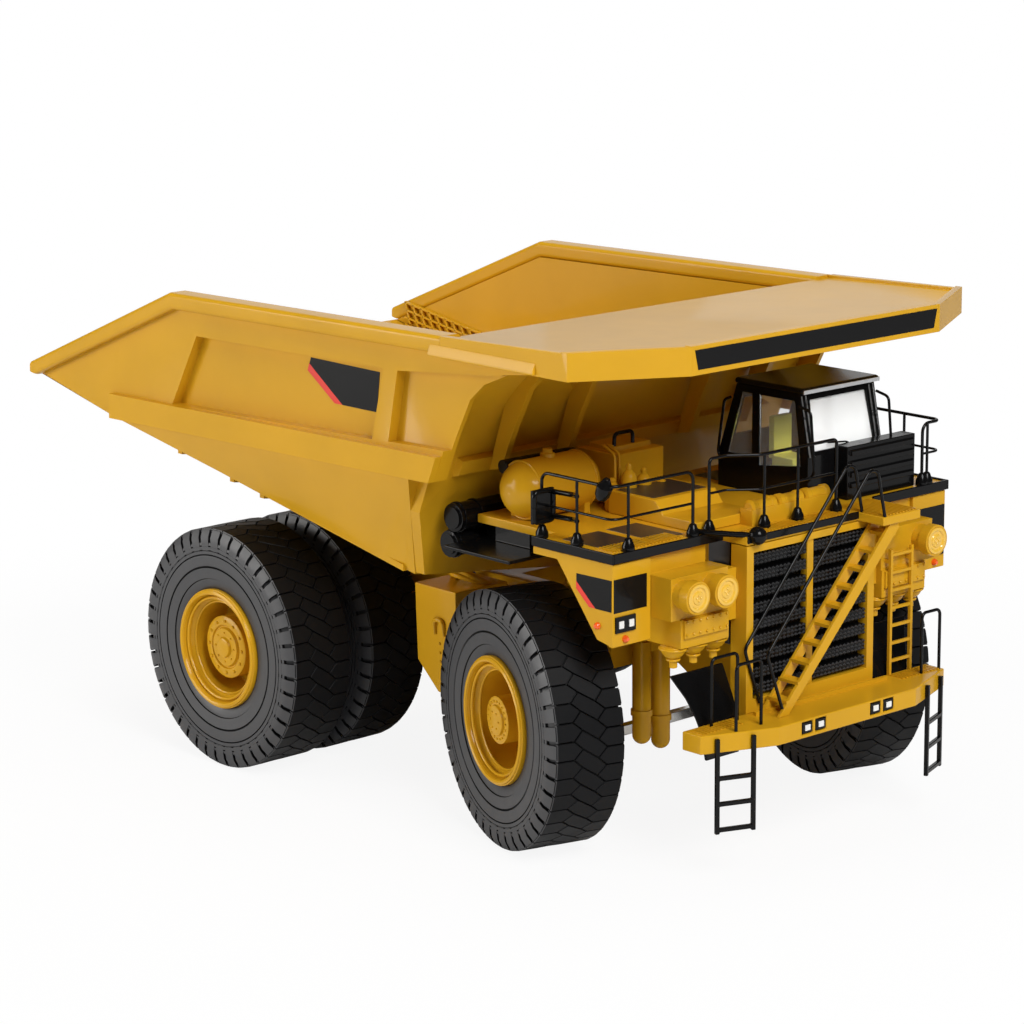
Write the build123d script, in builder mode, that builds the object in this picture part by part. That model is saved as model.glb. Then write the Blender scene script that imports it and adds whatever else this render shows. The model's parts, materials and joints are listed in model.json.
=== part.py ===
# Scale model of a rigid-frame mining dump truck, about 1:50, all sizes in millimetres.
# +X points to the front of the truck, +Y to its left, +Z up.
# The origin is on the ground, below the middle of the overall length and width.
from build123d import *
import os

os.makedirs("parts", exist_ok=True)

# Driving sizes
LENGTH = 268.6              # bumper face to tail of the dump body
BODY_HALF_WIDTH = 76.0      # top rails and canopy
WHEELBASE = 118.1
TYRE_RADIUS = 35.55
TYRE_WIDTH = 22.4
WALL = 3.2                  # plates of the trough and of the front wall
DECK_SIDE_Y = 64.8          # outer face of the fenders
SLIDE_GAP = 0.1             # radial clearance of pins, rods and bores
BODY_GAP = 0.4              # gap between faces of bodies that move past each other
SEAT_GAP = 0.05             # between pieces that sit on each other

# Tyres and wheels
TREAD_WIDTH = TYRE_WIDTH - 2.0
HALF_TYRE = TYRE_WIDTH / 2
BEAD_RADIUS = TYRE_RADIUS - 18.55
RIM_RADIUS = BEAD_RADIUS + 0.7
RIM_WELL_RADIUS = BEAD_RADIUS - 3.4
RIM_LIP = 2.0               # width of the flange outside the bead
AXLE_RADIUS = 3.0
DUAL_OUTER_Y = BODY_HALF_WIDTH - 12.2
DUAL_INNER_Y = DUAL_OUTER_Y - TYRE_WIDTH - 5.9
DUAL_SPACING = DUAL_OUTER_Y - DUAL_INNER_Y
FRONT_WHEEL_Y = 56.1
KINGPIN_Y = FRONT_WHEEL_Y - 16.1
FRONT_HUB_RADIUS = 6.5
FRONT_HUB_INSET = 1.8       # hub face behind the rim's outer plane
REAR_HUB_RADIUS = 9.2
REAR_HUB_INSET = 3.9
WEB_FRONT = -2.0            # faces of the wheel web, from the tyre's middle
WEB_BACK = -5.0

# Places along the truck
STEER_SWEEP = (TYRE_RADIUS**2 + (FRONT_WHEEL_Y - KINGPIN_Y + HALF_TYRE) ** 2) ** 0.5
BUMPER_X = LENGTH / 2
TAIL_X = -LENGTH / 2
FRONT_AXLE_X = BUMPER_X - STEER_SWEEP - 16.277
REAR_AXLE_X = FRONT_AXLE_X - WHEELBASE
BUMPER_END_X = BUMPER_X - 8.0
BUMPER_BACK_X = BUMPER_X - 14.8
GRILLE_X = BUMPER_X - 14.0
FRAME_FRONT_X = GRILLE_X - 6.3
FRAME_REAR_X = REAR_AXLE_X - 27.1
BED_PIVOT_X = REAR_AXLE_X - 17.1
PEAK_X = TAIL_X + 72.0
TOP_FRONT_X = FRONT_AXLE_X - 16.0
HOPPER_FRONT_X = FRONT_AXLE_X - 49.2
WALL_TOP_X = TOP_FRONT_X - 2.7      # inner face of the front wall at its head
CANOPY_FRONT_X = GRILLE_X + 1.9
CANOPY_SIDE_X = CANOPY_FRONT_X - 16.1
DECK_FRONT_X = GRILLE_X - 9.3
DECK_SIDE_X = FRONT_AXLE_X + 7.6
DECK_TAIL_X = FRONT_AXLE_X - 23.2

# Heights, from the top of the tyres
TYRE_TOP_Z = 2 * TYRE_RADIUS
RAIL_TOP_Z = TYRE_TOP_Z - 13.1
RAIL_LOW_Z = RAIL_TOP_Z - 12.0
BED_PIVOT_Z = RAIL_TOP_Z + 2.0
DECK_Z = (RAIL_TOP_Z + 28.2, RAIL_TOP_Z + 30.6)
CAB_ROOF_Z = DECK_Z[1] + 29.9
CANOPY_LOW_Z = CAB_ROOF_Z + 16.1
TOP_FRONT_Z = CANOPY_LOW_Z + 5.8
CANOPY_TOP_Z = TOP_FRONT_Z + 1.9
PEAK_Z = TOP_FRONT_Z - 1.9
TAIL_TOP_Z = TOP_FRONT_Z - 31.1
FENDER_LOW_Z = DECK_Z[0] - 22.0
BUMPER_Z = (TYRE_RADIUS - 0.25, TYRE_RADIUS + 4.85)

# Steering: the wheels stand turned to the right, as parked
KINGPIN_RADIUS = 3.0
PARKED_STEER = -15.6        # degrees from straight ahead
STEER_ARM = 12.0            # kingpin to tie bar pin
BOSS_RADIUS = 5.5
BOSS_Z = (TYRE_RADIUS - 10.95, TYRE_RADIUS + 11.05)
STRUT_RADIUS = 4.0
STRUT_TOP_Z = RAIL_TOP_Z + 25.0
TIE_PIN_RADIUS = 0.8
TIE_BAR_Z = (BOSS_Z[0] - 4.6, BOSS_Z[0] - 1.6)
ARM_Z = (BOSS_Z[0], BOSS_Z[0] + 3.4)

# Main frame
RAIL_INNER_Y = 10.0
RAIL_OUTER_Y = 16.0
TORQUE_X = REAR_AXLE_X + 54.9       # where the rear axle's arm meets its cross member
BEAM_HALF = 7.0             # half length of the cross beam that carries the struts

# Dump body
SIDE_Y = BODY_HALF_WIDTH - 3.0      # outer face of the side walls
SIDE_WALL = 4.4
RECESS = 3.0                # depth of the panels sunk into the side walls
FLOOR_THICK = 4.5
FLOOR_EDGE_Y = SIDE_Y - 13.0
RAIL_DEPTH = 4.8
RAIL_ROUND = 1.3
FLANGE_HEIGHT = 7.4
FLANGE_Y = SIDE_Y + 2.2
RIB_DEPTH = 2.6
FLOOR_RIB = 2.0             # depth of the ribs below the floor
FLOOR_RIB_X = (TAIL_X + 54.0, TAIL_X + 79.2, TAIL_X + 93.3)
BED_PIN_RADIUS = 2.4
EAR_RADIUS = 5.0
EAR_Y = (4.5, 9.0)
EAR_SEAT = 2.4              # how far ears and brackets reach into the floor's plate
GUSSET_Y = (24.0, FLOOR_EDGE_Y - 12.0)

# Canopy over the deck
CANOPY_FRONT_Y = 47.8
CANOPY_SKIN = 2.2
CANOPY_LIP = 0.8            # height of its rim above its skin
CANOPY_RIM = 2.4            # width of that rim

# Hoist cylinders: a barrel, a middle stage and a rod on each side
HOIST_Y = 20.6
HOIST_FOOT = (REAR_AXLE_X + 42.9, RAIL_TOP_Z - 34.0)    # x, z
HOIST_EYE = (REAR_AXLE_X + 49.9, RAIL_TOP_Z + 4.0)
BARREL_RADIUS = 3.4
STAGE_RADIUS = 2.6
ROD_RADIUS = 1.7
EYE_RADIUS = 2.4
HOIST_PIN_RADIUS = 1.2

# Deck, fenders and front end
DECK_TAIL_Y = DECK_SIDE_Y - 7.8
FENDER_WALL = 1.6
FENDER_INNER_Y = 51.2
BUMPER_HALF_Y = 27.0
STEP_OUTER_Y = 48.0
GRILLE_HALF_Y = 25.0
GRILLE_Z = (BUMPER_Z[1] + 0.2, DECK_Z[0] - 0.2)
GRILLE_DEPTH = 5.8
PILLAR = 2.6
SLAT_COUNT = 9
LAMP_BOX_X = (GRILLE_X - 14.3, GRILLE_X - 2.0)
LAMP_BOX_Y = (30.0, 51.0)
LAMP_BOX_Z = (DECK_Z[0] - 16.2, DECK_Z[0] - 4.8)
RELAY_BOX_Z = DECK_Z[0] - 24.0      # underside of the lower box
LAMP_RADIUS = 4.4
LAMP_X = GRILLE_X + 4.0
LAMP_Z = DECK_Z[0] - 9.4
LAMPS = {"right": (36.5, 47.0), "left": (46.0,)}
BULB_RADIUS = 3.5
BULB_Y = (31.6, 39.0, 46.4)
WIRE = 0.45                 # radius of the handrails' tubes
POST = 0.4                  # radius of the posts between their ends
MID_BAR = 0.35              # radius of the middle bars
RAIL_BEND = 2.6             # inner corner radius of the tubes
HANDRAIL_Z = (DECK_Z[1] + 9.0, DECK_Z[1] + 17.6)
WALK_RAIL_Z = (DECK_Z[1] + 10.7, DECK_Z[1] + 20.0)
STAIR_X = (GRILLE_X + 1.1, GRILLE_X + 8.3)
STAIR_FOOT = (-21.0, BUMPER_Z[1] + 0.6)     # y, z
STAIR_HEAD = (22.0, DECK_Z[0] - 1.7)
LANDING_Y = (18.0, 33.0)
TREAD_COUNT = 10

# Cab
CAB_Y = (16.0, 46.0)
CAB_X = (GRILLE_X - 50.8, GRILLE_X - 16.7)
ROOF_THICK = 1.8
CAB_WALL = 1.4
GLASS = 0.7


def block(xs, ys, zs, mode=Mode.ADD):
    """A box between two x, two y and two z values."""
    centre = [(a + b) / 2 for a, b in (xs, ys, zs)]
    size = [abs(b - a) for a, b in (xs, ys, zs)]
    with Locations(tuple(centre)):
        Box(*size, mode=mode)


def side_plate(points, ys, mode=Mode.ADD):
    """A plate whose outline is given as (x, z) points, between two y values."""
    low, high = sorted(ys)
    with BuildSketch(Plane.XZ.offset(-high)) as outline:
        with BuildLine():
            Polyline(*points, close=True)
        make_face()
    extrude(outline.sketch, amount=high - low, mode=mode)


def front_plate(points, xs, mode=Mode.ADD):
    """A plate whose outline is given as (y, z) points, between two x values."""
    with BuildSketch(Plane.YZ.offset(xs[0])) as outline:
        with BuildLine():
            Polyline(*points, close=True)
        make_face()
    extrude(outline.sketch, amount=xs[1] - xs[0], mode=mode)


def flat_plate(points, zs, mode=Mode.ADD):
    """A plate whose outline is given as (x, y) points, between two z values."""
    with BuildSketch(Plane.XY.offset(zs[0])) as outline:
        with BuildLine():
            Polyline(*points, close=True)
        make_face()
    extrude(outline.sketch, amount=zs[1] - zs[0], mode=mode)


def rod(start, end, radius, mode=Mode.ADD):
    """A round bar between two points."""
    start, end = Vector(*start), Vector(*end)
    with Locations(Plane(origin=start, z_dir=end - start)):
        Cylinder(
            radius,
            (end - start).length,
            align=(Align.CENTER, Align.CENTER, Align.MIN),
            mode=mode,
        )


def wire(points, radius, bend=RAIL_BEND):
    """A bent round tube through its corner points."""
    with BuildLine() as path:
        FilletPolyline(*points, radius=bend)
    with BuildSketch(Plane(origin=path.line @ 0, z_dir=path.line % 0)) as section:
        Circle(radius)
    sweep(section.sketch, path=path.line)


def save(part, name):
    part.label = name
    export_step(part, f"parts/{name}.step")


def kingpin_plane(side, angle=PARKED_STEER):
    """A plane on the ground below a kingpin, turned with the wheels."""
    forward = Vector(1, 0, 0).rotate(Axis.Z, angle)
    return Plane(origin=(FRONT_AXLE_X, side * KINGPIN_Y, 0), x_dir=forward, z_dir=(0, 0, 1))


def axle_plane(x, y, side):
    """A plane at a wheel's middle: its z axis points outwards, along the axle."""
    return Plane(origin=(x, side * y, TYRE_RADIUS), x_dir=(0, 0, 1), z_dir=(0, side, 0))


def steered_axle_plane(side):
    """The same for a front wheel, which is turned about its kingpin."""
    turned = kingpin_plane(side)
    middle = turned.from_local_coords(
        Vector(0, side * (FRONT_WHEEL_Y - KINGPIN_Y), TYRE_RADIUS)
    )
    return Plane(origin=middle, x_dir=(0, 0, 1), z_dir=turned.y_dir * side)


# Tyres
def tyre(plane):
    half, tread = HALF_TYRE, TREAD_WIDTH / 2
    with BuildPart() as solid:
        with BuildSketch(Plane.XZ):
            with BuildLine():
                Polyline(
                    (BEAD_RADIUS, -half + 2.4),
                    (BEAD_RADIUS + 4.0, -half + 0.5),
                    (BEAD_RADIUS + 10.0, -half),
                    (TYRE_RADIUS - 4.5, -half + 0.4),
                    (TYRE_RADIUS, -tread + 0.6),
                    (TYRE_RADIUS, tread - 0.6),
                    (TYRE_RADIUS - 4.5, half - 0.4),
                    (BEAD_RADIUS + 10.0, half),
                    (BEAD_RADIUS + 4.0, half - 0.5),
                    (BEAD_RADIUS, half - 2.4),
                    close=True,
                )
            make_face()
        revolve(axis=Axis.Z)
    return plane.location * solid.part


def rim_outline(shift, hub_radius, hub_face, web=(WEB_FRONT, WEB_BACK)):
    """Half section of one wheel as (radius, offset) points, moved along the axle by shift."""
    half = HALF_TYRE
    seat = BEAD_RADIUS - SEAT_GAP
    points = [
        (AXLE_RADIUS + SLIDE_GAP, hub_face),
        (hub_radius, hub_face),
        (hub_radius, web[0]),
        (RIM_WELL_RADIUS, web[0]),
        (RIM_WELL_RADIUS, half - 3.0),
        (RIM_RADIUS - 2.0, half - 1.4),
        (RIM_RADIUS - 1.6, half),
        (RIM_RADIUS, half),
        (RIM_RADIUS, half - RIM_LIP),
        (seat, half - RIM_LIP - 0.4),
        (seat, -half + RIM_LIP + 0.4),
        (RIM_RADIUS, -half + RIM_LIP),
        (RIM_RADIUS, -half),
        (RIM_WELL_RADIUS, -half),
        (RIM_WELL_RADIUS, web[1]),
        (AXLE_RADIUS + SLIDE_GAP, web[1]),
    ]
    return [(radius, offset + shift) for radius, offset in points]


def turned_wheel(outlines):
    with BuildPart() as solid:
        for outline in outlines:
            with BuildSketch(Plane.XZ):
                with BuildLine():
                    Polyline(*outline, close=True)
                make_face()
            revolve(axis=Axis.Z)
    return solid.part


for side, name in ((-1, "right"), (1, "left")):
    steered = steered_axle_plane(side)
    save(tyre(steered), f"tyre_front_{name}")
    front_wheel = turned_wheel(
        [rim_outline(0.0, FRONT_HUB_RADIUS, HALF_TYRE - FRONT_HUB_INSET)]
    )
    save(steered.location * front_wheel, f"wheel_front_{name}")
    save(tyre(axle_plane(REAR_AXLE_X, DUAL_OUTER_Y, side)), f"tyre_rear_{name}_outer")
    save(tyre(axle_plane(REAR_AXLE_X, DUAL_INNER_Y, side)), f"tyre_rear_{name}_inner")
    spacer = [
        (AXLE_RADIUS + SLIDE_GAP, WEB_BACK),
        (REAR_HUB_RADIUS, WEB_BACK),
        (REAR_HUB_RADIUS, -DUAL_SPACING + WEB_FRONT),
        (AXLE_RADIUS + SLIDE_GAP, -DUAL_SPACING + WEB_FRONT),
    ]
    dual_wheel = turned_wheel(
        [
            rim_outline(0.0, REAR_HUB_RADIUS, HALF_TYRE - REAR_HUB_INSET),
            spacer,
            rim_outline(-DUAL_SPACING, REAR_HUB_RADIUS, 0.0),
        ]
    )
    outer = axle_plane(REAR_AXLE_X, DUAL_OUTER_Y, side)
    save(outer.location * dual_wheel, f"wheels_rear_{name}")

# Front axle: struts with their kingpins, steering knuckles and tie bar
for side, name in ((-1, "right"), (1, "left")):
    foot = kingpin_plane(side)
    spindle_end = FRONT_WHEEL_Y - KINGPIN_Y + HALF_TYRE - FRONT_HUB_INSET - 0.6
    with BuildPart() as knuckle:
        with Locations((0, 0, sum(BOSS_Z) / 2)):
            Cylinder(BOSS_RADIUS, BOSS_Z[1] - BOSS_Z[0])
        rod((0, 0, TYRE_RADIUS), (0, side * spindle_end, TYRE_RADIUS), AXLE_RADIUS)
        block((-STEER_ARM, 0), (-1.8, 1.8), ARM_Z)
        with Locations((-STEER_ARM, 0, sum(ARM_Z) / 2)):
            Cylinder(1.8, ARM_Z[1] - ARM_Z[0])
        with Locations((0, 0, sum(BOSS_Z) / 2)):
            Cylinder(KINGPIN_RADIUS + SLIDE_GAP, BOSS_Z[1] - BOSS_Z[0], mode=Mode.SUBTRACT)
        with Locations((-STEER_ARM, 0, sum(ARM_Z) / 2)):
            Cylinder(TIE_PIN_RADIUS + SLIDE_GAP, ARM_Z[1] - ARM_Z[0], mode=Mode.SUBTRACT)
    save(foot.location * knuckle.part, f"knuckle_{name}")

ARM_OFFSET = Vector(-STEER_ARM, 0, 0).rotate(Axis.Z, PARKED_STEER)
TIE_X = FRONT_AXLE_X + ARM_OFFSET.X
TIE_Y = (ARM_OFFSET.Y - KINGPIN_Y, ARM_OFFSET.Y + KINGPIN_Y)
with BuildPart() as tie_bar:
    block((TIE_X - 1.3, TIE_X + 1.3), TIE_Y, TIE_BAR_Z)
    for y in TIE_Y:
        rod((TIE_X, y, TIE_BAR_Z[0]), (TIE_X, y, TIE_BAR_Z[1]), 2.0)
        rod((TIE_X, y, TIE_BAR_Z[1]), (TIE_X, y, ARM_Z[1] - 0.2), TIE_PIN_RADIUS)
save(tie_bar.part, "tie_bar")

with BuildPart() as front_struts:
    for side in (-1, 1):
        y = side * KINGPIN_Y
        rod((FRONT_AXLE_X, y, BOSS_Z[1] + BODY_GAP), (FRONT_AXLE_X, y, STRUT_TOP_Z), STRUT_RADIUS)
        rod((FRONT_AXLE_X, y, BOSS_Z[0] - 2.4), (FRONT_AXLE_X, y, STRUT_TOP_Z), KINGPIN_RADIUS)
        rod(
            (FRONT_AXLE_X, y, BOSS_Z[0] - 2.4),
            (FRONT_AXLE_X, y, BOSS_Z[0] - BODY_GAP),
            STRUT_RADIUS,
        )
        block(
            (FRONT_AXLE_X - BEAM_HALF, FRONT_AXLE_X + BEAM_HALF),
            (side * RAIL_OUTER_Y, side * (KINGPIN_Y - STRUT_RADIUS)),
            (BOSS_Z[1] + BODY_GAP, RAIL_TOP_Z),
        )
        block(
            (FRONT_AXLE_X - STRUT_RADIUS, FRONT_AXLE_X + STRUT_RADIUS),
            (side * (KINGPIN_Y - STRUT_RADIUS), side * KINGPIN_Y),
            (BOSS_Z[1] + BODY_GAP, RAIL_TOP_Z),
        )
save(front_struts.part, "front_struts")

# Rear axle: housing with spindles, and its struts
with BuildPart() as rear_axle:
    rod((REAR_AXLE_X, -14.0, TYRE_RADIUS), (REAR_AXLE_X, 14.0, TYRE_RADIUS), 10.4)
    rod((REAR_AXLE_X, -23.0, TYRE_RADIUS), (REAR_AXLE_X, 23.0, TYRE_RADIUS), 8.0)
    spindle = DUAL_OUTER_Y + HALF_TYRE - REAR_HUB_INSET - 0.6
    rod((REAR_AXLE_X, -spindle, TYRE_RADIUS), (REAR_AXLE_X, spindle, TYRE_RADIUS), AXLE_RADIUS)
    block((REAR_AXLE_X, TORQUE_X), (-5.0, 5.0), (TYRE_RADIUS - 3.0, TYRE_RADIUS + 3.0))
    for side in (-1, 1):
        block(
            (REAR_AXLE_X - 17.0, REAR_AXLE_X),
            (side * 17.0, side * 23.0),
            (TYRE_RADIUS - 2.0, TYRE_RADIUS + 3.0),
        )
save(rear_axle.part, "rear_axle")

with BuildPart() as rear_struts:
    for side in (-1, 1):
        x, y = REAR_AXLE_X - 13.5, side * 20.0
        rod((x, y, TYRE_RADIUS + 3.0), (x, y, RAIL_TOP_Z - 4.0), 2.0)
        rod((x, y, TYRE_RADIUS + 9.0), (x, y, RAIL_TOP_Z), 2.8)
        block((x - 2.8, x + 2.8), (side * RAIL_OUTER_Y, y), (RAIL_TOP_Z - 5.0, RAIL_TOP_Z))
save(rear_struts.part, "rear_struts")

# Main frame: two rails with the hoist brackets, cross members, and the pin of the dump body
for side, name in ((-1, "right"), (1, "left")):
    with BuildPart() as rail:
        side_plate(
            [
                (FRAME_REAR_X, RAIL_LOW_Z + 4.0),
                (FRAME_REAR_X, RAIL_TOP_Z),
                (FRAME_FRONT_X, RAIL_TOP_Z),
                (FRAME_FRONT_X, BUMPER_Z[1]),
                (FRAME_FRONT_X - 18.0, BUMPER_Z[1]),
                (FRAME_FRONT_X - 28.0, RAIL_LOW_Z),
                (REAR_AXLE_X + 6.0, RAIL_LOW_Z),
            ],
            (side * RAIL_INNER_Y, side * RAIL_OUTER_Y),
        )
        bed_pin_bore = [(BED_PIVOT_X, side * y, BED_PIVOT_Z) for y in (RAIL_INNER_Y - BODY_GAP, RAIL_OUTER_Y)]
        rod(*bed_pin_bore, EAR_RADIUS)
        rod(*bed_pin_bore, BED_PIN_RADIUS + SEAT_GAP, mode=Mode.SUBTRACT)
        # bracket and pin of the hoist cylinder
        block(
            (HOIST_FOOT[0] - 2.4, HOIST_FOOT[0] + 2.4),
            (side * (RAIL_INNER_Y + 2.0), side * (HOIST_Y - BARREL_RADIUS - BODY_GAP)),
            (HOIST_FOOT[1] - 2.4, RAIL_LOW_Z),
        )
        rod(
            (HOIST_FOOT[0], side * RAIL_OUTER_Y, HOIST_FOOT[1]),
            (HOIST_FOOT[0], side * (HOIST_Y + 2.2), HOIST_FOOT[1]),
            HOIST_PIN_RADIUS,
        )
    save(rail.part, f"rail_{name}")

CROSS_Y = RAIL_INNER_Y - SEAT_GAP
with BuildPart() as cross_members:
    # middle x, low z, high z
    for x, low, high in (
        (FRAME_REAR_X + 3.0, RAIL_LOW_Z + 4.5, RAIL_TOP_Z - 3.5),
        (REAR_AXLE_X + 24.9, RAIL_LOW_Z + 1.0, RAIL_TOP_Z - 1.0),
        (TORQUE_X, TYRE_RADIUS + 3.2, RAIL_TOP_Z - 1.0),
        (FRONT_AXLE_X - 33.2, RAIL_LOW_Z + 1.0, RAIL_TOP_Z - 1.0),
        (FRONT_AXLE_X, RAIL_LOW_Z + 1.0, RAIL_TOP_Z - 1.0),
        (FRAME_FRONT_X - 4.0, BUMPER_Z[1] + 0.6, RAIL_TOP_Z - 1.0),
    ):
        block((x - 3.0, x + 3.0), (-CROSS_Y, CROSS_Y), (low, high))
save(cross_members.part, "cross_members")
with BuildPart() as bed_pin:
    rod((BED_PIVOT_X, -RAIL_OUTER_Y, BED_PIVOT_Z), (BED_PIVOT_X, RAIL_OUTER_Y, BED_PIVOT_Z), BED_PIN_RADIUS)
save(bed_pin.part, "bed_pin")

# Hoist cylinders, drawn in by their stroke
foot = Vector(HOIST_FOOT[0], 0, HOIST_FOOT[1])
eye = Vector(HOIST_EYE[0], 0, HOIST_EYE[1])
reach = (eye - foot).normalized()
span = (eye - foot).length
for side, name in ((-1, "right"), (1, "left")):
    sideways = Vector(0, side * HOIST_Y, 0)

    def along(distance):
        return tuple(foot + sideways + reach * distance)

    with BuildPart() as barrel:
        rod(along(EYE_RADIUS), along(span - 5.6), BARREL_RADIUS)
        rod(
            (foot.X, side * (HOIST_Y - 1.5), foot.Z),
            (foot.X, side * (HOIST_Y + 1.5), foot.Z),
            EYE_RADIUS + 0.6,
        )
        rod(along(EYE_RADIUS + 1.6), along(span - 5.6), STAGE_RADIUS + SLIDE_GAP, mode=Mode.SUBTRACT)
        rod(
            (foot.X, side * (HOIST_Y - 3.0), foot.Z),
            (foot.X, side * (HOIST_Y + 3.0), foot.Z),
            HOIST_PIN_RADIUS + SLIDE_GAP,
            mode=Mode.SUBTRACT,
        )
    save(barrel.part, f"hoist_barrel_{name}")
    with BuildPart() as stage:
        rod(along(EYE_RADIUS + 2.0), along(span - 4.2), STAGE_RADIUS)
        rod(along(EYE_RADIUS + 3.4), along(span - 4.2), ROD_RADIUS + SLIDE_GAP, mode=Mode.SUBTRACT)
    save(stage.part, f"hoist_stage_{name}")
    with BuildPart() as piston_rod:
        rod(along(EYE_RADIUS + 3.8), along(span - 1.6), ROD_RADIUS)
        rod(
            (eye.X, side * (HOIST_Y - 1.5), eye.Z),
            (eye.X, side * (HOIST_Y + 1.5), eye.Z),
            EYE_RADIUS,
        )
        rod(
            (eye.X, side * (HOIST_Y - 2.0), eye.Z),
            (eye.X, side * (HOIST_Y + 2.0), eye.Z),
            HOIST_PIN_RADIUS + SLIDE_GAP,
            mode=Mode.SUBTRACT,
        )
    save(piston_rod.part, f"hoist_rod_{name}")

# Dump body floor: a V-bottomed trough that rises to the tail
# x, underside at the middle, at the floor's edges, and the foot of the side walls
TROUGH = [
    (TAIL_X + 2.0, TYRE_TOP_Z + 23.5, TYRE_TOP_Z + 31.9, TYRE_TOP_Z + 34.3),
    (TAIL_X + 39.7, TYRE_TOP_Z + 11.3, TYRE_TOP_Z + 19.7, TYRE_TOP_Z + 26.0),
    (HOPPER_FRONT_X, TYRE_TOP_Z - 10.7, TYRE_TOP_Z - 2.3, TYRE_TOP_Z + 28.2),
]


# inner face of the front wall, which leans forward from the trough's front end
WALL_FOOT = (HOPPER_FRONT_X + 0.2, TROUGH[2][1] + 0.4)
WALL_HEAD = (WALL_TOP_X, CANOPY_LOW_Z - SEAT_GAP)
WALL_SLOPE = (WALL_HEAD[0] - WALL_FOOT[0]) / (WALL_HEAD[1] - WALL_FOOT[1])


def trough_section(x, middle, edge, top, inset):
    """Corners of the trough's section at x, from the right wall's foot to the left one's."""
    side = SIDE_Y - inset
    wall_edge = FLOOR_EDGE_Y - inset * 0.4
    lift = inset / WALL * FLOOR_THICK
    head = max(top, edge + lift) + 1.0 if inset else top
    return [
        Vector(x, -side, head),
        Vector(x, -wall_edge, edge + lift),
        Vector(x, 0, middle + lift),
        Vector(x, wall_edge, edge + lift),
        Vector(x, side, head),
    ]


def run_to_wall(before, here):
    """A corner of the front section, moved along its edge to the front wall's inner face."""
    along = here - before
    face_x = WALL_FOOT[0] + (here.Z - WALL_FOOT[1]) * WALL_SLOPE - SEAT_GAP
    return here + along * ((face_x - here.X) / (along.X - along.Z * WALL_SLOPE))


def trough_sections(inset):
    """The trough's sections, the last one in the plane of the front wall's inner face."""
    sections = [trough_section(*row, inset) for row in TROUGH]
    sections[-1] = [run_to_wall(a, b) for a, b in zip(*sections[-2:])]
    return sections


def underside(x, y=0.0):
    """Height of the trough's underside at one place."""
    low, high = next((a, b) for a, b in zip(TROUGH, TROUGH[1:]) if x <= b[0])
    share = (x - low[0]) / (high[0] - low[0])
    middle = low[1] + (high[1] - low[1]) * share
    edge = low[2] + (high[2] - low[2]) * share
    return middle + (edge - middle) * abs(y) / FLOOR_EDGE_Y


def flat_sided(sections):
    """A solid through sections of corners, with flat faces: a twisted side is two triangles."""

    def panel(*corners):
        return Face(Wire.make_polygon(corners, close=True))

    faces = [panel(*reversed(sections[0])), panel(*sections[-1])]
    for low, high in zip(sections, sections[1:]):
        for i in range(len(low)):
            a, b, c, d = low[i - 1], low[i], high[i], high[i - 1]
            twist = (b - a).cross(c - a).normalized().dot(d - a)
            if abs(twist) < 1e-6:
                faces.append(panel(a, b, c, d))
            else:
                faces += [panel(a, b, c), panel(a, c, d)]
    return Solid(Shell(faces))


with BuildPart() as bed_floor:
    for inset, mode in ((0.0, Mode.ADD), (WALL, Mode.SUBTRACT)):
        add(flat_sided(trough_sections(inset)), mode=mode)
    for side in (-1, 1):
        ears = (side * EAR_Y[0], side * EAR_Y[1])
        side_plate(
            [
                (BED_PIVOT_X - EAR_RADIUS, BED_PIVOT_Z),
                (BED_PIVOT_X + EAR_RADIUS, BED_PIVOT_Z),
                (BED_PIVOT_X + 12.0, underside(BED_PIVOT_X + 12.0) + EAR_SEAT),
                (BED_PIVOT_X - 10.0, underside(BED_PIVOT_X - 10.0) + EAR_SEAT),
            ],
            ears,
        )
        rod((BED_PIVOT_X, ears[0], BED_PIVOT_Z), (BED_PIVOT_X, ears[1], BED_PIVOT_Z), EAR_RADIUS)
    rod(
        (BED_PIVOT_X, -RAIL_INNER_Y, BED_PIVOT_Z),
        (BED_PIVOT_X, RAIL_INNER_Y, BED_PIVOT_Z),
        BED_PIN_RADIUS + SLIDE_GAP,
        mode=Mode.SUBTRACT,
    )
    # plates on both sides of each hoist eye
    for side in (-1, 1):
        for inner in (HOIST_Y - 2.6, HOIST_Y + 1.8):
            side_plate(
                [
                    (HOIST_EYE[0] - 2.6, HOIST_EYE[1] - 2.0),
                    (HOIST_EYE[0] + 2.6, HOIST_EYE[1] - 2.0),
                    (HOIST_EYE[0] + 4.0, underside(HOIST_EYE[0], HOIST_Y) + EAR_SEAT),
                    (HOIST_EYE[0] - 4.0, underside(HOIST_EYE[0], HOIST_Y) + EAR_SEAT),
                ],
                (side * inner, side * (inner + 0.8)),
            )
        # fold along the floor's edge
        (x0, _, z0, _), (x1, _, z1, _) = TROUGH[1:]
        side_plate(
            [(x0, z0), (x1, z1), (x1, z1 + 1.8), (x0, z0 + 1.8)],
            (side * (FLOOR_EDGE_Y - 1.0), side * (FLOOR_EDGE_Y + 1.6)),
        )
    # cross ribs below the floor
    for x in FLOOR_RIB_X:
        low, high = underside(x), underside(x, FLOOR_EDGE_Y)
        front_plate(
            [
                (-FLOOR_EDGE_Y, high - FLOOR_RIB),
                (0, low - FLOOR_RIB),
                (FLOOR_EDGE_Y, high - FLOOR_RIB),
                (FLOOR_EDGE_Y, high + 1.6),
                (0, low + 1.6),
                (-FLOOR_EDGE_Y, high + 1.6),
            ],
            (x - 1.0, x + 1.0),
        )
save(bed_floor.part, "bed_floor")

# Walls of the dump body stand on the trough, and the canopy reaches over the deck
FOOT_LINE = [(x, top) for x, _, _, top in TROUGH]
RECESS_LOW = CANOPY_LOW_Z - 29.6
RECESS_HIGH = CANOPY_LOW_Z - 6.6
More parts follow.
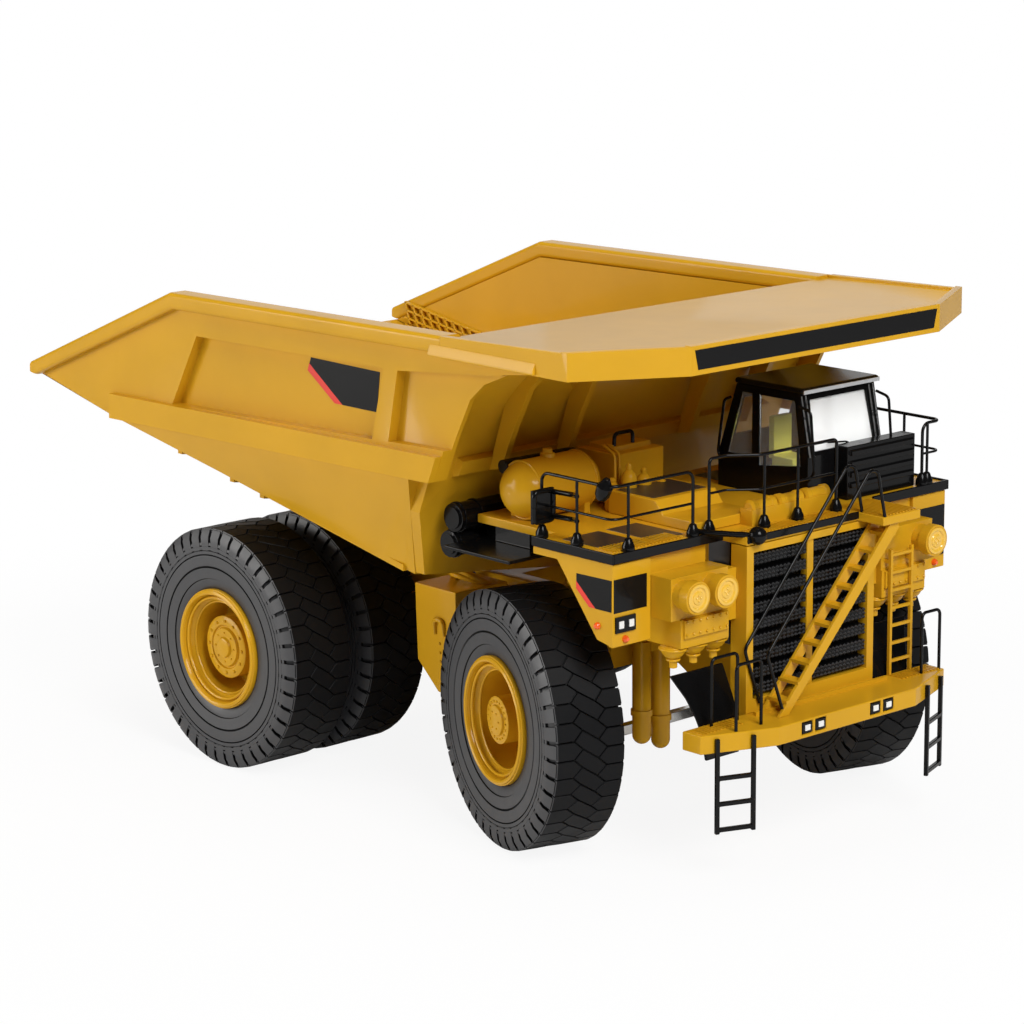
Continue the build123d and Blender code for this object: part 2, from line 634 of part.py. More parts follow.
# x before the top rail's front end and z below the canopy, down the walls' front edge
FRONT_CURVE = [
    (TOP_FRONT_X + x, CANOPY_LOW_Z - z)
    for x, z in ((-6.4, 34.7), (-1.1, 22.9), (5.1, 11.3), (10.7, 6.5), (21.8, 2.0), (37.8, 0.0))
]
SIDE_RECESSES = [
    [
        (PEAK_X - 3.4, RECESS_LOW),
        (PEAK_X + 9.3, RECESS_HIGH - 1.4),
        (TOP_FRONT_X - 26.8, RECESS_HIGH),
        (TOP_FRONT_X - 32.0, RECESS_LOW + 2.8),
    ],
    [
        (TOP_FRONT_X - 25.2, RECESS_LOW + 3.2),
        (TOP_FRONT_X - 20.9, RECESS_HIGH + 0.2),
        (TOP_FRONT_X + 9.8, CANOPY_LOW_Z - 3.6),
        (TOP_FRONT_X + 40.0, CANOPY_LOW_Z - 0.8),
        (TOP_FRONT_X + 40.0, RECESS_LOW),
        (TOP_FRONT_X - 3.0, RECESS_LOW + 3.9),
    ],
]
for side, name in ((-1, "right"), (1, "left")):
    with BuildPart() as top_rail:
        side_plate(
            [
                (TAIL_X, TAIL_TOP_Z - 3.1),
                (TAIL_X, TAIL_TOP_Z),
                (PEAK_X, PEAK_Z),
                (TOP_FRONT_X, TOP_FRONT_Z),
                (TOP_FRONT_X, TOP_FRONT_Z - RAIL_DEPTH),
                (PEAK_X + 1.1, PEAK_Z - RAIL_DEPTH),
                (TAIL_X + 2.8, TAIL_TOP_Z - 3.8),
            ],
            (side * (SIDE_Y - SIDE_WALL), side * BODY_HALF_WIDTH),
        )
        rolled = top_rail.edges().filter_by(Axis.Y, reverse=True)
        rolled = rolled.filter_by(lambda edge: edge.center().X < TOP_FRONT_X - 1.0)
        fillet(rolled.filter_by(lambda edge: edge.length > 4.0), RAIL_ROUND)
    with BuildPart() as bed_side:
        side_plate(
            [
                (TAIL_X + 2.8, TAIL_TOP_Z - 3.8),
                *FOOT_LINE[1:],
                *FRONT_CURVE,
                (TOP_FRONT_X, CANOPY_LOW_Z),
                (TOP_FRONT_X, TOP_FRONT_Z - RAIL_DEPTH),
                (PEAK_X + 1.1, PEAK_Z - RAIL_DEPTH),
            ],
            (side * (SIDE_Y - SIDE_WALL), side * SIDE_Y),
        )
        for outline in SIDE_RECESSES:
            side_plate(outline, (side * (SIDE_Y - RECESS), side * (SIDE_Y + 1.0)), mode=Mode.SUBTRACT)
        add(top_rail.part)
        foot = FOOT_LINE[1]
        side_plate(
            [
                foot,
                FRONT_CURVE[0],
                (FRONT_CURVE[0][0] + 3.2, FRONT_CURVE[0][1] + FLANGE_HEIGHT),
                (foot[0], foot[1] + FLANGE_HEIGHT),
            ],
            (side * (SIDE_Y - RECESS), side * FLANGE_Y),
        )
    save(bed_side.part, f"bed_side_{name}")

WALL_RUN = WALL * 1.15      # the wall's thickness along x
ROLL_FOOT_Z = CANOPY_LOW_Z - 28.6
ROLL_FOOT = (WALL_FOOT[0] + (ROLL_FOOT_Z - WALL_FOOT[1]) * WALL_SLOPE + WALL_RUN, ROLL_FOOT_Z)
ROLL_MIDDLE = (TOP_FRONT_X + 4.3, CANOPY_LOW_Z - 8.1)
ROLL_HEAD = (TOP_FRONT_X + 26.8, WALL_HEAD[1])
with BuildPart() as bed_front:
    front_side = SIDE_Y - SIDE_WALL - SEAT_GAP
    with BuildSketch(Plane.XZ.offset(-front_side)) as outline:
        with BuildLine():
            Polyline(ROLL_HEAD, WALL_HEAD, WALL_FOOT, (WALL_FOOT[0] + WALL_RUN, WALL_FOOT[1]), ROLL_FOOT)
            ThreePointArc(ROLL_FOOT, ROLL_MIDDLE, ROLL_HEAD)
        make_face()
    extrude(outline.sketch, amount=2 * front_side)
    # curved gussets below the canopy
    for y in (-GUSSET_Y[1], -GUSSET_Y[0], GUSSET_Y[0], GUSSET_Y[1]):
        side_plate(
            [
                (FRONT_CURVE[0][0] - 5.0, FRONT_CURVE[0][1] - 1.0),
                *FRONT_CURVE[:-1],
                (FRONT_CURVE[-1][0], WALL_HEAD[1]),
                (WALL_HEAD[0] + 4.0, WALL_HEAD[1]),
            ],
            (y - 1.0, y + 1.0),
        )
    # box beam across the front face
    low, high = CANOPY_LOW_Z - 36.6, CANOPY_LOW_Z - 30.6
    x = WALL_FOOT[0] + (low - WALL_FOOT[1]) * WALL_SLOPE + WALL
    side_plate(
        [(x, low), (x + 3.4, low + 1.0), (x + 3.4 + 4.0 * WALL_SLOPE, high - 1.0), (x + 6.0 * WALL_SLOPE, high)],
        (-FLOOR_EDGE_Y, FLOOR_EDGE_Y),
    )
    # the wall's foot follows the trough
    for side in (-1, 1):
        front_plate(
            [
                (side * (SIDE_Y + 5), WALL_FOOT[1] - 10),
                (0, WALL_FOOT[1] - 10),
                (0, WALL_FOOT[1]),
                (side * FLOOR_EDGE_Y, TROUGH[2][2]),
                (side * SIDE_Y, TROUGH[2][3]),
                (side * (SIDE_Y + 5), TROUGH[2][3]),
            ],
            (WALL_FOOT[0] - 10, ROLL_HEAD[0] + 10),
            mode=Mode.SUBTRACT,
        )
save(bed_front.part, "bed_front")

with BuildPart() as canopy:
    rear = TOP_FRONT_X + SEAT_GAP
    side_plate(
        [
            (rear, CANOPY_LOW_Z),
            (rear, TOP_FRONT_Z - CANOPY_LIP),
            (CANOPY_FRONT_X, CANOPY_TOP_Z - CANOPY_LIP),
            (CANOPY_FRONT_X, CANOPY_LOW_Z),
        ],
        (-BODY_HALF_WIDTH, BODY_HALF_WIDTH),
    )
    for side in (-1, 1):
        side_plate(
            [
                (rear, CANOPY_LOW_Z),
                (rear, TOP_FRONT_Z),
                (CANOPY_FRONT_X, CANOPY_TOP_Z),
                (CANOPY_FRONT_X, CANOPY_LOW_Z),
            ],
            (side * (BODY_HALF_WIDTH - CANOPY_RIM), side * BODY_HALF_WIDTH),
        )
        flat_plate(
            [
                (CANOPY_SIDE_X, side * BODY_HALF_WIDTH),
                (CANOPY_FRONT_X, side * CANOPY_FRONT_Y),
                (CANOPY_FRONT_X - CANOPY_RIM, side * CANOPY_FRONT_Y),
                (CANOPY_SIDE_X - CANOPY_RIM, side * BODY_HALF_WIDTH),
            ],
            (CANOPY_LOW_Z, CANOPY_TOP_Z - 0.2),
        )
    block(
        (CANOPY_FRONT_X - CANOPY_RIM, CANOPY_FRONT_X),
        (-CANOPY_FRONT_Y, CANOPY_FRONT_Y),
        (CANOPY_LOW_Z, CANOPY_TOP_Z),
    )
    for side in (-1, 1):
        flat_plate(
            [
                (CANOPY_SIDE_X, side * BODY_HALF_WIDTH),
                (CANOPY_FRONT_X, side * CANOPY_FRONT_Y),
                (CANOPY_FRONT_X + 9, side * CANOPY_FRONT_Y),
                (CANOPY_FRONT_X + 9, side * (BODY_HALF_WIDTH + 5)),
                (CANOPY_SIDE_X, side * (BODY_HALF_WIDTH + 5)),
            ],
            (CANOPY_LOW_Z - 1, CANOPY_TOP_Z + 1),
            mode=Mode.SUBTRACT,
        )
    # pockets between the beams below its skin: x from, x to
    for x_from, x_to in ((ROLL_HEAD[0] + 2.0, CANOPY_FRONT_X - 19.0), (CANOPY_FRONT_X - 16.0, CANOPY_FRONT_X - 3.2)):
        for y_from, y_to in ((-45.0, -23.0), (-20.0, -1.5), (1.5, 20.0), (23.0, 45.0)):
            block(
                (x_from, x_to),
                (y_from, y_to),
                (CANOPY_LOW_Z - 1, TOP_FRONT_Z - CANOPY_SKIN - CANOPY_LIP),
                mode=Mode.SUBTRACT,
            )
save(canopy.part, "canopy")

# Engine and radiator
with BuildPart() as engine_block:
    block((FRONT_AXLE_X - 11.2, GRILLE_X - 15.3), (-18.0, 18.0), (RAIL_TOP_Z + SEAT_GAP, DECK_Z[0] - 1.0))
save(engine_block.part, "engine_block")
with BuildPart() as radiator:
    block(
        (GRILLE_X - 15.2, GRILLE_X - 7.3),
        (-GRILLE_HALF_Y + 1, GRILLE_HALF_Y - 1),
        (RAIL_TOP_Z + SEAT_GAP, DECK_Z[0] - SEAT_GAP),
    )
save(radiator.part, "radiator")

# Grille: pillars in a frame, and black slats on a plate behind them
GRILLE_BACK = GRILLE_X - GRILLE_DEPTH
SLAT_LOW_Z = GRILLE_Z[0] + 3.6
SLAT_HIGH_Z = GRILLE_Z[1] - 2.0
SLAT_EDGE_Y = GRILLE_HALF_Y - PILLAR - SEAT_GAP
with BuildPart() as grille:
    for side in (-1, 1):
        block((GRILLE_BACK, GRILLE_X), (side * (GRILLE_HALF_Y - PILLAR), side * GRILLE_HALF_Y), GRILLE_Z)
        block(
            (FRAME_FRONT_X, GRILLE_BACK),
            (side * RAIL_INNER_Y, side * RAIL_OUTER_Y),
            (GRILLE_Z[0], SLAT_LOW_Z - SEAT_GAP),
        )
    block((GRILLE_BACK, GRILLE_X), (-GRILLE_HALF_Y, GRILLE_HALF_Y), (GRILLE_Z[0], SLAT_LOW_Z - SEAT_GAP))
    block((GRILLE_BACK, GRILLE_X), (-GRILLE_HALF_Y, GRILLE_HALF_Y), (SLAT_HIGH_Z + SEAT_GAP, GRILLE_Z[1]))
    block((GRILLE_X - 3.0, GRILLE_X - 0.6), (-1.2, 1.2), GRILLE_Z)
save(grille.part, "grille")
with BuildPart() as grille_slats:
    block((GRILLE_BACK + 0.2, GRILLE_X - 3.1), (-SLAT_EDGE_Y, SLAT_EDGE_Y), (SLAT_LOW_Z, SLAT_HIGH_Z))
    pitch = (SLAT_HIGH_Z - SLAT_LOW_Z) / SLAT_COUNT
    for number in range(SLAT_COUNT):
        z = SLAT_LOW_Z + pitch * number
        for side in (-1, 1):
            block(
                (GRILLE_X - 3.2, GRILLE_X - 0.8),
                (side * (1.2 + SEAT_GAP), side * SLAT_EDGE_Y),
                (z + pitch * 0.2, z + pitch * 0.84),
            )
save(grille_slats.part, "grille_slats")

# Bumper with its end steps
with BuildPart() as bumper:
    flat_plate(
        [
            (BUMPER_BACK_X - 16.0, -20.0),
            (BUMPER_BACK_X, -20.0),
            (BUMPER_BACK_X, -STEP_OUTER_Y),
            (BUMPER_END_X, -STEP_OUTER_Y),
            (BUMPER_X, -BUMPER_HALF_Y),
            (BUMPER_X, BUMPER_HALF_Y),
            (BUMPER_END_X, STEP_OUTER_Y),
            (BUMPER_BACK_X, STEP_OUTER_Y),
            (BUMPER_BACK_X, 20.0),
            (BUMPER_BACK_X - 16.0, 20.0),
        ],
        BUMPER_Z,
    )
    # pockets of the fog lamps
    for y in (-16.0, -10.8, 10.8, 16.0):
        block(
            (BUMPER_X - 0.8, BUMPER_X + 1.0),
            (y - 2.1, y + 2.1),
            (BUMPER_Z[0] + 1.0, BUMPER_Z[1] - 0.7),
            mode=Mode.SUBTRACT,
        )
save(bumper.part, "bumper")

# Deck plate, fenders and landing
with BuildPart() as deck:
    flat_plate(
        [
            (DECK_TAIL_X, -DECK_TAIL_Y),
            (DECK_SIDE_X, -DECK_TAIL_Y),
            (DECK_SIDE_X, -DECK_SIDE_Y),
            (DECK_FRONT_X, -DECK_SIDE_Y),
            (DECK_FRONT_X, DECK_SIDE_Y),
            (DECK_SIDE_X, DECK_SIDE_Y),
            (DECK_SIDE_X, DECK_TAIL_Y),
            (DECK_TAIL_X, DECK_TAIL_Y),
        ],
        DECK_Z,
    )
    # walkway over the grille, and the landing at the stair's head
    block((DECK_FRONT_X, GRILLE_X), (-GRILLE_HALF_Y, LANDING_Y[0]), DECK_Z)
    block((DECK_FRONT_X, STAIR_X[1] + 1.0), LANDING_Y, DECK_Z)
    for side in (-1, 1):
        rod((FRONT_AXLE_X, side * KINGPIN_Y, STRUT_TOP_Z + SEAT_GAP), (FRONT_AXLE_X, side * KINGPIN_Y, DECK_Z[0]), STRUT_RADIUS)
save(deck.part, "deck")

with BuildPart() as fenders:
    for side in (-1, 1):
        outer = side * DECK_SIDE_Y
        inner = side * (DECK_SIDE_Y - FENDER_WALL)
        top = DECK_Z[0] - SEAT_GAP
        side_plate(
            [
                (DECK_SIDE_X, top),
                (DECK_FRONT_X, top),
                (DECK_FRONT_X, FENDER_LOW_Z),
                (DECK_FRONT_X - 6.0, FENDER_LOW_Z + 1.2),
                (DECK_FRONT_X - 21.0, DECK_Z[0] - 2.0),
                (DECK_SIDE_X, DECK_Z[0] - 2.0),
            ],
            (inner, outer),
        )
        block((DECK_FRONT_X - FENDER_WALL, DECK_FRONT_X), (side * FENDER_INNER_Y, outer), (FENDER_LOW_Z, top))
        block((DECK_FRONT_X - 21.0, DECK_FRONT_X), (side * FENDER_INNER_Y, inner), (DECK_Z[0] - 2.0, top))
save(fenders.part, "fenders")

with BuildPart() as lamp_boxes:
    box_x = LAMP_BOX_X[0]
    for side, name in ((-1, "right"), (1, "left")):
        y0, y1 = side * LAMP_BOX_Y[0], side * LAMP_BOX_Y[1]
        block(LAMP_BOX_X, (y0, y1), LAMP_BOX_Z)
        block((box_x, box_x + 4.0), (y0, y1), (LAMP_BOX_Z[1], DECK_Z[0] - SEAT_GAP))
        # lower box with its raised front panel
        block((box_x, GRILLE_X - 1.6), (y0, y1 - side * 3.2), (RELAY_BOX_Z, LAMP_BOX_Z[0]))
        block(
            (GRILLE_X - 1.7, GRILLE_X - 0.8),
            (y0 + side * 0.8, y1 - side * 4.0),
            (RELAY_BOX_Z + 2.7, LAMP_BOX_Z[0] - 0.2),
        )
        block((box_x, GRILLE_X - 3.8), (side * (GRILLE_HALF_Y + SEAT_GAP), y0), (LAMP_BOX_Z[0] - 4.0, LAMP_BOX_Z[1] - 1.4))
        for y in LAMPS[name]:
            pod = (side * y, LAMP_Z)
            rod((LAMP_BOX_X[1] - 1.0, *pod), (LAMP_X - 2.2, *pod), LAMP_RADIUS - 0.6)
            rod((LAMP_X - 3.0, *pod), (LAMP_X, *pod), LAMP_RADIUS)
            rod((LAMP_X - 1.4, *pod), (LAMP_X, *pod), LAMP_RADIUS - 0.7, mode=Mode.SUBTRACT)
save(lamp_boxes.part, "lamp_boxes")

with BuildPart() as headlamps:
    for side, name in ((-1, "right"), (1, "left")):
        for y in LAMPS[name]:
            rod((LAMP_X - 1.35, side * y, LAMP_Z), (LAMP_X - 0.3, side * y, LAMP_Z), LAMP_RADIUS - 0.75)
save(headlamps.part, "headlamps")

# Three bulb-shaped accumulators hang below each lamp box
with BuildPart() as accumulators:
    for side in (-1, 1):
        for y in BULB_Y:
            top = Vector(GRILLE_X - 5.8, side * y, RELAY_BOX_Z - SEAT_GAP)
            with Locations(top):
                Sphere(
                    BULB_RADIUS,
                    arc_size1=-90,
                    arc_size2=0,
                    align=(Align.CENTER, Align.CENTER, Align.MAX),
                )
            rod(top - Vector(0, 0, BULB_RADIUS + 2.4), top - Vector(0, 0, 1.0), 1.1)
save(accumulators.part, "accumulators")

# Two upright cylinders hang beside each rail, ahead of the front axle
CYLINDER_X = FRONT_AXLE_X + 12.8
with BuildPart() as upright_cylinders:
    for side in (-1, 1):
        block(
            (CYLINDER_X - 1.8, CYLINDER_X + 1.8),
            (side * (RAIL_OUTER_Y + SEAT_GAP), side * 32.0),
            (RAIL_TOP_Z - 6.0, RAIL_TOP_Z - 1.0),
        )
        # y, bottom z
        for y, low in ((30.0, TYRE_RADIUS - 9.3), (22.8, TYRE_RADIUS - 12.0)):
            x = CYLINDER_X
            rod((x, side * y, low + 2.4), (x, side * y, RAIL_TOP_Z - 3.0), 2.6)
            with Locations((x, side * y, low + 2.4)):
                Sphere(2.6)
            rod((x, side * y, low + 8.0), (x, side * y, low + 9.6), 3.0)
save(upright_cylinders.part, "upright_cylinders")

# Stair from the bumper to the landing
with BuildPart() as stair:
    (y0, z0), (y1, z1) = STAIR_FOOT, STAIR_HEAD
    for x in (STAIR_X[0], STAIR_X[1] - 0.9):
        front_plate(
            [
                (y0, z0 - 0.5),
                (y0 + 3.6, z0 - 0.5),
                (y1 + 3.2, z1),
                (y1 + 3.2, DECK_Z[0] - SEAT_GAP),
                (y1, DECK_Z[0] - SEAT_GAP),
            ],
            (x, x + 0.9),
        )
    for number in range(TREAD_COUNT):
        share = (number + 0.8) / TREAD_COUNT
        y, z = y0 + (y1 - y0) * share, z0 + (z1 - z0) * share
        block(STAIR_X, (y - 0.6, y + 3.0), (z - 0.9, z))
save(stair.part, "stair")

# Upright ladder on the left lamp box
LADDER_X = GRILLE_X - 0.5
LADDER_Z = (BUMPER_Z[1] + SEAT_GAP, LAMP_BOX_Z[1] - 5.4)
with BuildPart() as box_ladder:
    for y in (31.3, 39.7):
        block((LADDER_X, LADDER_X + 1.0), (y, y + 0.9), LADDER_Z)
        block((LAMP_BOX_X[1] + SEAT_GAP, LADDER_X), (y, y + 0.9), (LADDER_Z[1] - 4.0, LADDER_Z[1] - 3.0))
    for number in range(7):
        z = LADDER_Z[0] + 3.5 + 5.0 * number
        block((LADDER_X + 0.1, LADDER_X + 0.9), (31.3, 40.6), (z, z + 0.8))
save(box_ladder.part, "box_ladder")

# Ladders that hang from the bumper's ends
END_RUN = Vector(BUMPER_END_X - BUMPER_X, STEP_OUTER_Y - BUMPER_HALF_Y, 0)
hung = []
for side in (-1, 1):
    along_edge = Vector(END_RUN.X, side * END_RUN.Y, 0).normalized()
    corner = Plane(
        origin=Vector(BUMPER_X, side * BUMPER_HALF_Y, 0) + along_edge * 7.0,
        x_dir=along_edge,
        z_dir=(0, 0, 1),
    )
    face = -0.05 if side > 0 else 0.05
    with BuildPart() as ladder:
        for run in (0.0, 10.4):
            block((run, run + 1.2), (face, face - side * 1.2), (BUMPER_Z[0] - 21.8, BUMPER_Z[1] - 1.0))
        for z in (BUMPER_Z[0] - 21.3, BUMPER_Z[0] - 14.3, BUMPER_Z[0] - 7.3):
            block((0.0, 11.6), (face, face - side * 1.2), (z, z + 1.2))
    hung.append(corner.location * ladder.part)
save(Compound(children=hung), "ladders")

# Handrails and guards: bent tubes with posts and a middle bar
RAIL_Y = DECK_SIDE_Y - 1.2
RAIL_X = DECK_FRONT_X - 1.2
RAIL_REAR_X = DECK_SIDE_X + 2.2
RAIL_FOOT_Z = DECK_Z[1] + SEAT_GAP
WALK_RAIL_X = GRILLE_X - 4.8


def upright(x, y, top):
    rod((x, y, RAIL_FOOT_Z), (x, y, top), POST)


with BuildPart() as handrails:
    for side, inner_y in ((-1, 34.6), (1, 56.0)):
        outer = side * RAIL_Y
        inner = side * inner_y
        low, top = HANDRAIL_Z
        wire(
            [
                (RAIL_REAR_X, outer, RAIL_FOOT_Z),
                (RAIL_REAR_X, outer, top),
                (RAIL_X, outer, top),
                (RAIL_X, inner, top),
                (RAIL_X, inner, RAIL_FOOT_Z),
            ],
            WIRE,
        )
        wire([(RAIL_REAR_X, outer, low), (RAIL_X, outer, low), (RAIL_X, inner, low)], MID_BAR)
        upright((RAIL_REAR_X + RAIL_X) / 2, outer, top)
        upright(RAIL_X, outer - side * 5.5, top)
    # walkway over the grille
    low, top = WALK_RAIL_Z
    start_x, start_y, end_y = DECK_FRONT_X - 1.1, -28.7, 14.4
    plan = [(start_x, start_y), (start_x, start_y + 6.2), (WALK_RAIL_X, start_y + 13.2), (WALK_RAIL_X, end_y)]
    wire([(start_x, start_y, RAIL_FOOT_Z), *[(x, y, top) for x, y in plan], (WALK_RAIL_X, end_y, RAIL_FOOT_Z)], WIRE, 1.4)
    wire([(x, y, low) for x, y in plan], MID_BAR, 1.4)
    for y in (-13.6, -0.7):
        upright(WALK_RAIL_X, y, top)
    # rails of the stair, from its foot to the landing
    foot_y, foot_z = STAIR_FOOT
    for x in (STAIR_X[0] - WIRE - SEAT_GAP, STAIR_X[1] + WIRE + SEAT_GAP):
        wire(
            [
                (x, foot_y + 0.6, foot_z + 2.0),
                (x, foot_y - 5.3, foot_z + 17.6),
                (x, STAIR_HEAD[0] - 6.9, STAIR_HEAD[1] + 20.4),
                (x, LANDING_Y[0] + 1.0, RAIL_FOOT_Z),
            ],
            WIRE,
        )
    # hoops on the bumper's ends: x, y from, y to, height
    for x, y_from, y_to, height in (
        (BUMPER_BACK_X + 2.5, -39.7, -30.0, 18.4),
        (BUMPER_END_X + 3.0, -38.0, -28.6, 17.8),
        (BUMPER_END_X - 0.8, 39.2, 46.6, 17.2),
    ):
        low, top = BUMPER_Z[1] + SEAT_GAP, BUMPER_Z[1] + height
        wire([(x, y_from, low), (x, y_from, top), (x, y_to, top), (x, y_to, low)], WIRE, 1.6)
save(handrails.part, "handrails")

# Cab: a hollow shell with its windows cut, roof, glass, seat and console
CAB_FLOOR_Z = DECK_Z[1] + SEAT_GAP
BROW_X = CAB_X[1] - 3.3     # head of the windshield
BACK_X = CAB_X[0] + 7.0     # head of the rear wall
CAB_SIDE = [
    (CAB_X[0], CAB_FLOOR_Z),
    (CAB_X[1], CAB_FLOOR_Z),
    (CAB_X[1], DECK_Z[1] + 12.9),
    (BROW_X, CAB_ROOF_Z),
    (BACK_X, CAB_ROOF_Z),
    (CAB_X[0], DECK_Z[1] + 9.2),
]
CAB_INSIDE = [
    (CAB_X[0] + CAB_WALL, DECK_Z[1] + CAB_WALL),
    (CAB_X[1] - CAB_WALL, DECK_Z[1] + CAB_WALL),
    (CAB_X[1] - CAB_WALL, DECK_Z[1] + 12.7),
    (BROW_X - CAB_WALL, CAB_ROOF_Z + 1.0),
    (BACK_X + CAB_WALL, CAB_ROOF_Z + 1.0),
    (CAB_X[0] + CAB_WALL, DECK_Z[1] + 9.4),
]
# outlines of the side windows: x from the cab's rear, z below the roof
WINDOWS = [
    [(CAB_X[0] + x, CAB_ROOF_Z - z) for x, z in outline]
    for outline in (
        ((3.5, 20.0), (13.0, 20.0), (13.0, 2.1), (8.9, 2.1)),
        ((15.5, 22.0), (31.5, 20.0), (30.7, 14.5), (29.1, 2.1), (15.5, 2.1)),
    )
]
WINDSHIELD = [
    (CAB_Y[0] + 3.0, CAB_ROOF_Z - 15.9),
    (CAB_Y[1] - 3.0, CAB_ROOF_Z - 15.9),
    (CAB_Y[1] - 3.6, CAB_ROOF_Z - 1.9),
    (CAB_Y[0] + 3.6, CAB_ROOF_Z - 1.9),
]
REAR_WINDOW = [
    (CAB_Y[0] + 4.0, CAB_ROOF_Z - 15.5),
    (CAB_Y[1] - 4.0, CAB_ROOF_Z - 15.5),
    (CAB_Y[1] - 4.0, CAB_ROOF_Z - 4.5),
    (CAB_Y[0] + 4.0, CAB_ROOF_Z - 4.5),
]
with BuildPart() as cab_shell:
    side_plate(CAB_SIDE, CAB_Y)
    side_plate(CAB_INSIDE, (CAB_Y[0] + CAB_WALL, CAB_Y[1] - CAB_WALL), mode=Mode.SUBTRACT)
    for outline in WINDOWS:
        side_plate(outline, (CAB_Y[0] - 1, CAB_Y[1] + 1), mode=Mode.SUBTRACT)
    front_plate(WINDSHIELD, (BROW_X - 2.3, CAB_X[1] + 4.0), mode=Mode.SUBTRACT)
    front_plate(REAR_WINDOW, (CAB_X[0] - 3.0, BACK_X + 5.5), mode=Mode.SUBTRACT)
save(cab_shell.part, "cab_shell")

with BuildPart() as cab_roof:
    block(
        (BACK_X - 0.5, BROW_X + 1.7),
        (CAB_Y[0] - 0.6, CAB_Y[1] + 0.6),
        (CAB_ROOF_Z + SEAT_GAP, CAB_ROOF_Z + ROOF_THICK),
    )
save(cab_roof.part, "cab_roof")

PANE_GAP = 0.08
with BuildPart() as cab_glass:
    for y in (CAB_Y[0] + 0.35, CAB_Y[1] - 0.35 - GLASS):
        for outline in WINDOWS:
            with BuildSketch(Plane.XZ.offset(-y - GLASS)) as pane:
                with BuildLine():
                    Polyline(*outline, close=True)
                make_face()
                offset(amount=-PANE_GAP)
            extrude(pane.sketch, amount=GLASS)
save(cab_glass.part, "cab_glass")

SEAT_X = CAB_X[0] + 10.5
SEAT_Y = (CAB_Y[0] + CAB_Y[1]) / 2
SEAT_Z = DECK_Z[1] + 5.4
with BuildPart() as seat:
    block((SEAT_X, SEAT_X + 8.0), (SEAT_Y - 4.0, SEAT_Y + 4.0), (SEAT_Z, SEAT_Z + 3.0))
    block((SEAT_X - 1.6, SEAT_X + 0.4), (SEAT_Y - 3.6, SEAT_Y + 3.6), (SEAT_Z + 2.0, SEAT_Z + 14.0))
    block((SEAT_X + 2.0, SEAT_X + 6.0), (SEAT_Y - 2.0, SEAT_Y + 2.0), (DECK_Z[1] + CAB_WALL, SEAT_Z))
save(seat.part, "seat")

DASH_Z = DECK_Z[1] + 11.4
with BuildPart() as console:
    x = CAB_X[1] - 6.2
    block((x - 0.4, CAB_X[1] - CAB_WALL - 0.2), (CAB_Y[0] + 3.0, CAB_Y[1] - 3.0), (DECK_Z[1] + CAB_WALL, DASH_Z))
    rod((x, SEAT_Y, DASH_Z - 1.0), (x - 5.0, SEAT_Y, DASH_Z + 2.6), 0.7)
    rod((x - 4.5, SEAT_Y, DASH_Z + 2.2), (x - 5.2, SEAT_Y, DASH_Z + 2.8), 3.6)
save(console.part, "console")

AC_Y = (26.5, 54.3)
with BuildPart() as air_conditioner:
    block((CAB_X[1] + SEAT_GAP, CAB_X[1] + 5.0), AC_Y, (CAB_FLOOR_Z, DECK_Z[1] + 15.0))
    for number in range(4):
        z = DECK_Z[1] + 3.4 + 3.0 * number
        block((CAB_X[1] + 4.0, CAB_X[1] + 5.8), (AC_Y[0] + 1.0, AC_Y[1] - 1.0), (z, z + 1.4))
save(air_conditioner.part, "air_conditioner")

# Equipment on the deck
TANK_X, TANK_Y, TANK_RADIUS = DECK_TAIL_X + 14.0, -43.0, 8.0
TANK_Z = DECK_Z[1] + 8.2
TANK_HALF = 15.0
with BuildPart() as tank_shell:
    with BuildSketch(Plane.XY) as half_section:
        with BuildLine():
            dome = TANK_HALF - 1.8
            Line((0, -TANK_HALF), (0, TANK_HALF))
            ThreePointArc((0, TANK_HALF), (TANK_RADIUS * 0.72, dome), (TANK_RADIUS, TANK_HALF - 6.4))
            Line((TANK_RADIUS, TANK_HALF - 6.4), (TANK_RADIUS, 6.4 - TANK_HALF))
            ThreePointArc((TANK_RADIUS, 6.4 - TANK_HALF), (TANK_RADIUS * 0.72, -dome), (0, -TANK_HALF))
        make_face()
    revolve(half_section.sketch, axis=Axis.Y)
with BuildPart() as deck_tank:
    add(tank_shell.part.moved(Location((TANK_X, TANK_Y, TANK_Z))))
    for y in (TANK_Y - 8.0, TANK_Y + 8.0):
        block((TANK_X - 6.0, TANK_X + 6.0), (y - 1.0, y + 1.0), (DECK_Z[1] + SEAT_GAP, TANK_Z - 3.0))
save(deck_tank.part, "deck_tank")

CLEANER_X = DECK_TAIL_X - 5.1
with BuildPart() as air_cleaners:
    # x, z, radius
    for x, z, radius in ((CLEANER_X + 0.9, DECK_Z[0] + 1.4, 3.9), (CLEANER_X - 0.9, DECK_Z[0] - 6.2, 3.7)):
        rod((x, -62.0, z), (x, -30.0, z), radius)
        for y in (-62.6, -29.4):
            rod((x, y, z), (x, y + 0.8 * (1 if y < -46 else -1), z), radius - 0.9)
    for y in (-50.0, -36.0):
        block((CLEANER_X - 0.9, CLEANER_X + 9.1), (y - 0.8, y + 0.8), (DECK_Z[0] - 7.2, DECK_Z[0] - SEAT_GAP))
save(air_cleaners.part, "air_cleaners")

CABINET_X = DECK_TAIL_X + 4.0
with BuildPart() as cabinet:
    block((CABINET_X, CABINET_X + 16.0), (-24.0, -6.0), (DECK_Z[1] + SEAT_GAP, DECK_Z[1] + 14.4))
    block((CABINET_X + 3.0, CABINET_X + 13.0), (-22.0, -8.0), (DECK_Z[1] + 14.4, DECK_Z[1] + 15.9))
save(cabinet.part, "cabinet")

